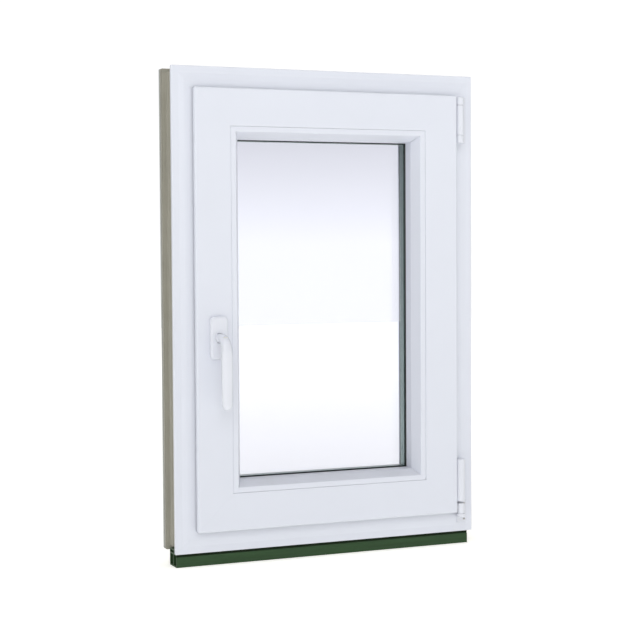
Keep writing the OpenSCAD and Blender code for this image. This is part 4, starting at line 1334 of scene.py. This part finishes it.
class WINDOW_OT_stage(bpy.types.Operator):
    """Pale floor, white tent light, three soft lights and the camera"""
    bl_idname = "tilt_window.stage"
    bl_label = "Stage"

    def execute(self, context):
        scene = context.scene
        scene.view_settings.view_transform = "Standard"
        self.floor()
        self.backdrop(scene)
        self.lamp("key", (-0.32, -0.82, 0.57), 40, 0.86)
        self.lamp("overhead", (0.0, -0.15, 1.0), 100, 1.5)
        self.lamp("left", (-1.0, -0.25, 0.05), 100, 0.42)
        self.camera(scene)
        return {"FINISHED"}

    def floor(self):
        """Level sheet under the window, which glows a little more with its distance."""
        mesh = bpy.data.meshes.new("pale_floor")
        half = 8.0
        under = CAD_BOX[0].z
        mesh.from_pydata([(-half, -half, under), (half, -half, under), (half, half, under),
                          (-half, half, under)], [], [(0, 1, 2, 3)])
        pale = surface("Pale floor", (0.94, 0.935, 0.90), 0.7, tone=0.005, bump=0.02)
        glow = pale.node_tree.nodes["Principled BSDF"].inputs
        glow["Emission Color"].default_value = (1, 0.99, 0.95, 1)
        tree = pale.node_tree
        place = tree.nodes.new("ShaderNodeTexCoord")
        reach = new_node(tree, "ShaderNodeVectorMath", {"operation": "LENGTH"})
        tree.links.new(place.outputs["Object"], reach.inputs[0])
        near, far, near_glow, far_glow = 0.8, 4.0, 0.4, 0.61
        brighter = new_node(tree, "ShaderNodeMapRange", values={
            "From Min": near, "From Max": far, "To Min": near_glow, "To Max": far_glow})
        tree.links.new(reach.outputs["Value"], brighter.inputs["Value"])
        tree.links.new(brighter.outputs["Result"], glow["Emission Strength"])
        mesh.materials.append(pale)
        floor = bpy.data.objects.new("pale_floor", mesh)
        bpy.context.scene.collection.objects.link(floor)

    def backdrop(self, scene):
        """World: dim room, a white backdrop behind the window and a bright low band in front of it."""
        dim, white, band = 0.15, 1.04, 2.6
        world = bpy.data.worlds.new("Studio room")
        world.use_nodes = True
        tree = world.node_tree
        link = tree.links.new
        where = tree.nodes.new("ShaderNodeTexCoord")

        def facing(direction, start, full):
            """From nought to one as the view turns towards a direction."""
            dot = new_node(tree, "ShaderNodeVectorMath", {"operation": "DOT_PRODUCT"})
            dot.inputs[1].default_value = direction
            link(where.outputs["Generated"], dot.inputs[0])
            ramp = new_node(tree, "ShaderNodeMapRange", values={"From Min": start, "From Max": full})
            link(dot.outputs["Value"], ramp.inputs["Value"])
            return ramp.outputs["Result"]

        def joined(operation, a, b):
            """Result of a sum or product of two numbers or outputs."""
            node = new_node(tree, "ShaderNodeMath", {"operation": operation})
            for socket, value in zip(node.inputs, (a, b)):
                if isinstance(value, float):
                    socket.default_value = value
                else:
                    link(value, socket)
            return node.outputs[0]

        behind = facing((0.39, 0.92, 0), 0.75, 0.94)
        low = facing((0, 0, -1), -0.07, 0.0)
        front = facing((0, -1, 0), 0.2, 0.5)
        glow = joined("MULTIPLY", joined("MULTIPLY", low, front), band - dim)
        total = joined("ADD", joined("MULTIPLY", behind, white - dim), joined("ADD", glow, dim))
        link(total, tree.nodes["Background"].inputs["Strength"])
        tree.nodes["Background"].inputs["Color"].default_value = (1, 1, 1, 1)
        scene.world = world

    def lamp(self, name, towards, spread, strength):
        """Far soft lamp in a direction from the window; spread is its width in degrees."""
        data = bpy.data.lights.new(name, "SUN")
        data.angle = math.radians(spread)
        data.energy = strength
        lamp = bpy.data.objects.new(name, data)
        lamp.location = Vector(towards) * 3
        lamp.rotation_euler = (-Vector(towards)).to_track_quat("-Z", "Y").to_euler()
        bpy.context.scene.collection.objects.link(lamp)

    def camera(self, scene):
        """Camera to the left of the window's middle, looking a little down."""
        data = bpy.data.cameras.new("camera")
        data.lens = 90.51
        data.sensor_width = 36
        data.clip_start, data.clip_end = 0.05, 60
        camera = bpy.data.objects.new("camera", data)
        heading, down, roll = math.radians(23.229), math.radians(2.571), math.radians(-0.343)
        turn = (Matrix.Rotation(-heading, 4, "Z") @ Matrix.Rotation(math.pi / 2 - down, 4, "X")
                @ Matrix.Rotation(roll, 4, "Z"))
        place_at = Vector((-1.1772, -2.7235, 0.5753))
        camera.matrix_world = Matrix.Translation(place_at) @ turn
        scene.collection.objects.link(camera)
        scene.camera = camera


OPERATORS = (WINDOW_OT_stage, WINDOW_OT_frame, WINDOW_OT_base, WINDOW_OT_sash, WINDOW_OT_beads,
             WINDOW_OT_seals, WINDOW_OT_glass, WINDOW_OT_spacer_holes, WINDOW_OT_handle,
             WINDOW_OT_upper_hinge, WINDOW_OT_lower_hinge, WINDOW_OT_gear, WINDOW_OT_screws)


class WINDOW_PT_parts(bpy.types.Panel):
    """Lists the window's sizes, colours and pieces"""
    bl_idname = "WINDOW_PT_parts"
    bl_label = "Tilt-and-turn Window"
    bl_space_type = "VIEW_3D"
    bl_region_type = "UI"
    bl_category = "Window"

    def draw(self, context):
        for operator in OPERATORS:
            self.layout.operator(operator.bl_idname)
        for group, kind in GROUPS.items():
            box = self.layout.box()
            for name in kind.__annotations__:
                box.prop(getattr(context.scene, group), name)


def register():
    for kind in (*GROUPS.values(), *OPERATORS, WINDOW_PT_parts):
        bpy.utils.register_class(kind)
    for group, kind in GROUPS.items():
        setattr(bpy.types.Scene, group, bpy.props.PointerProperty(type=kind))


def unregister():
    for group in GROUPS:
        delattr(bpy.types.Scene, group)
    for kind in reversed((*GROUPS.values(), *OPERATORS, WINDOW_PT_parts)):
        bpy.utils.unregister_class(kind)


def main():
    register()
    for operator in OPERATORS:
        name = operator.bl_idname.split(".")[1]
        getattr(bpy.ops.tilt_window, name)()


if __name__ == "__main__":
    main()
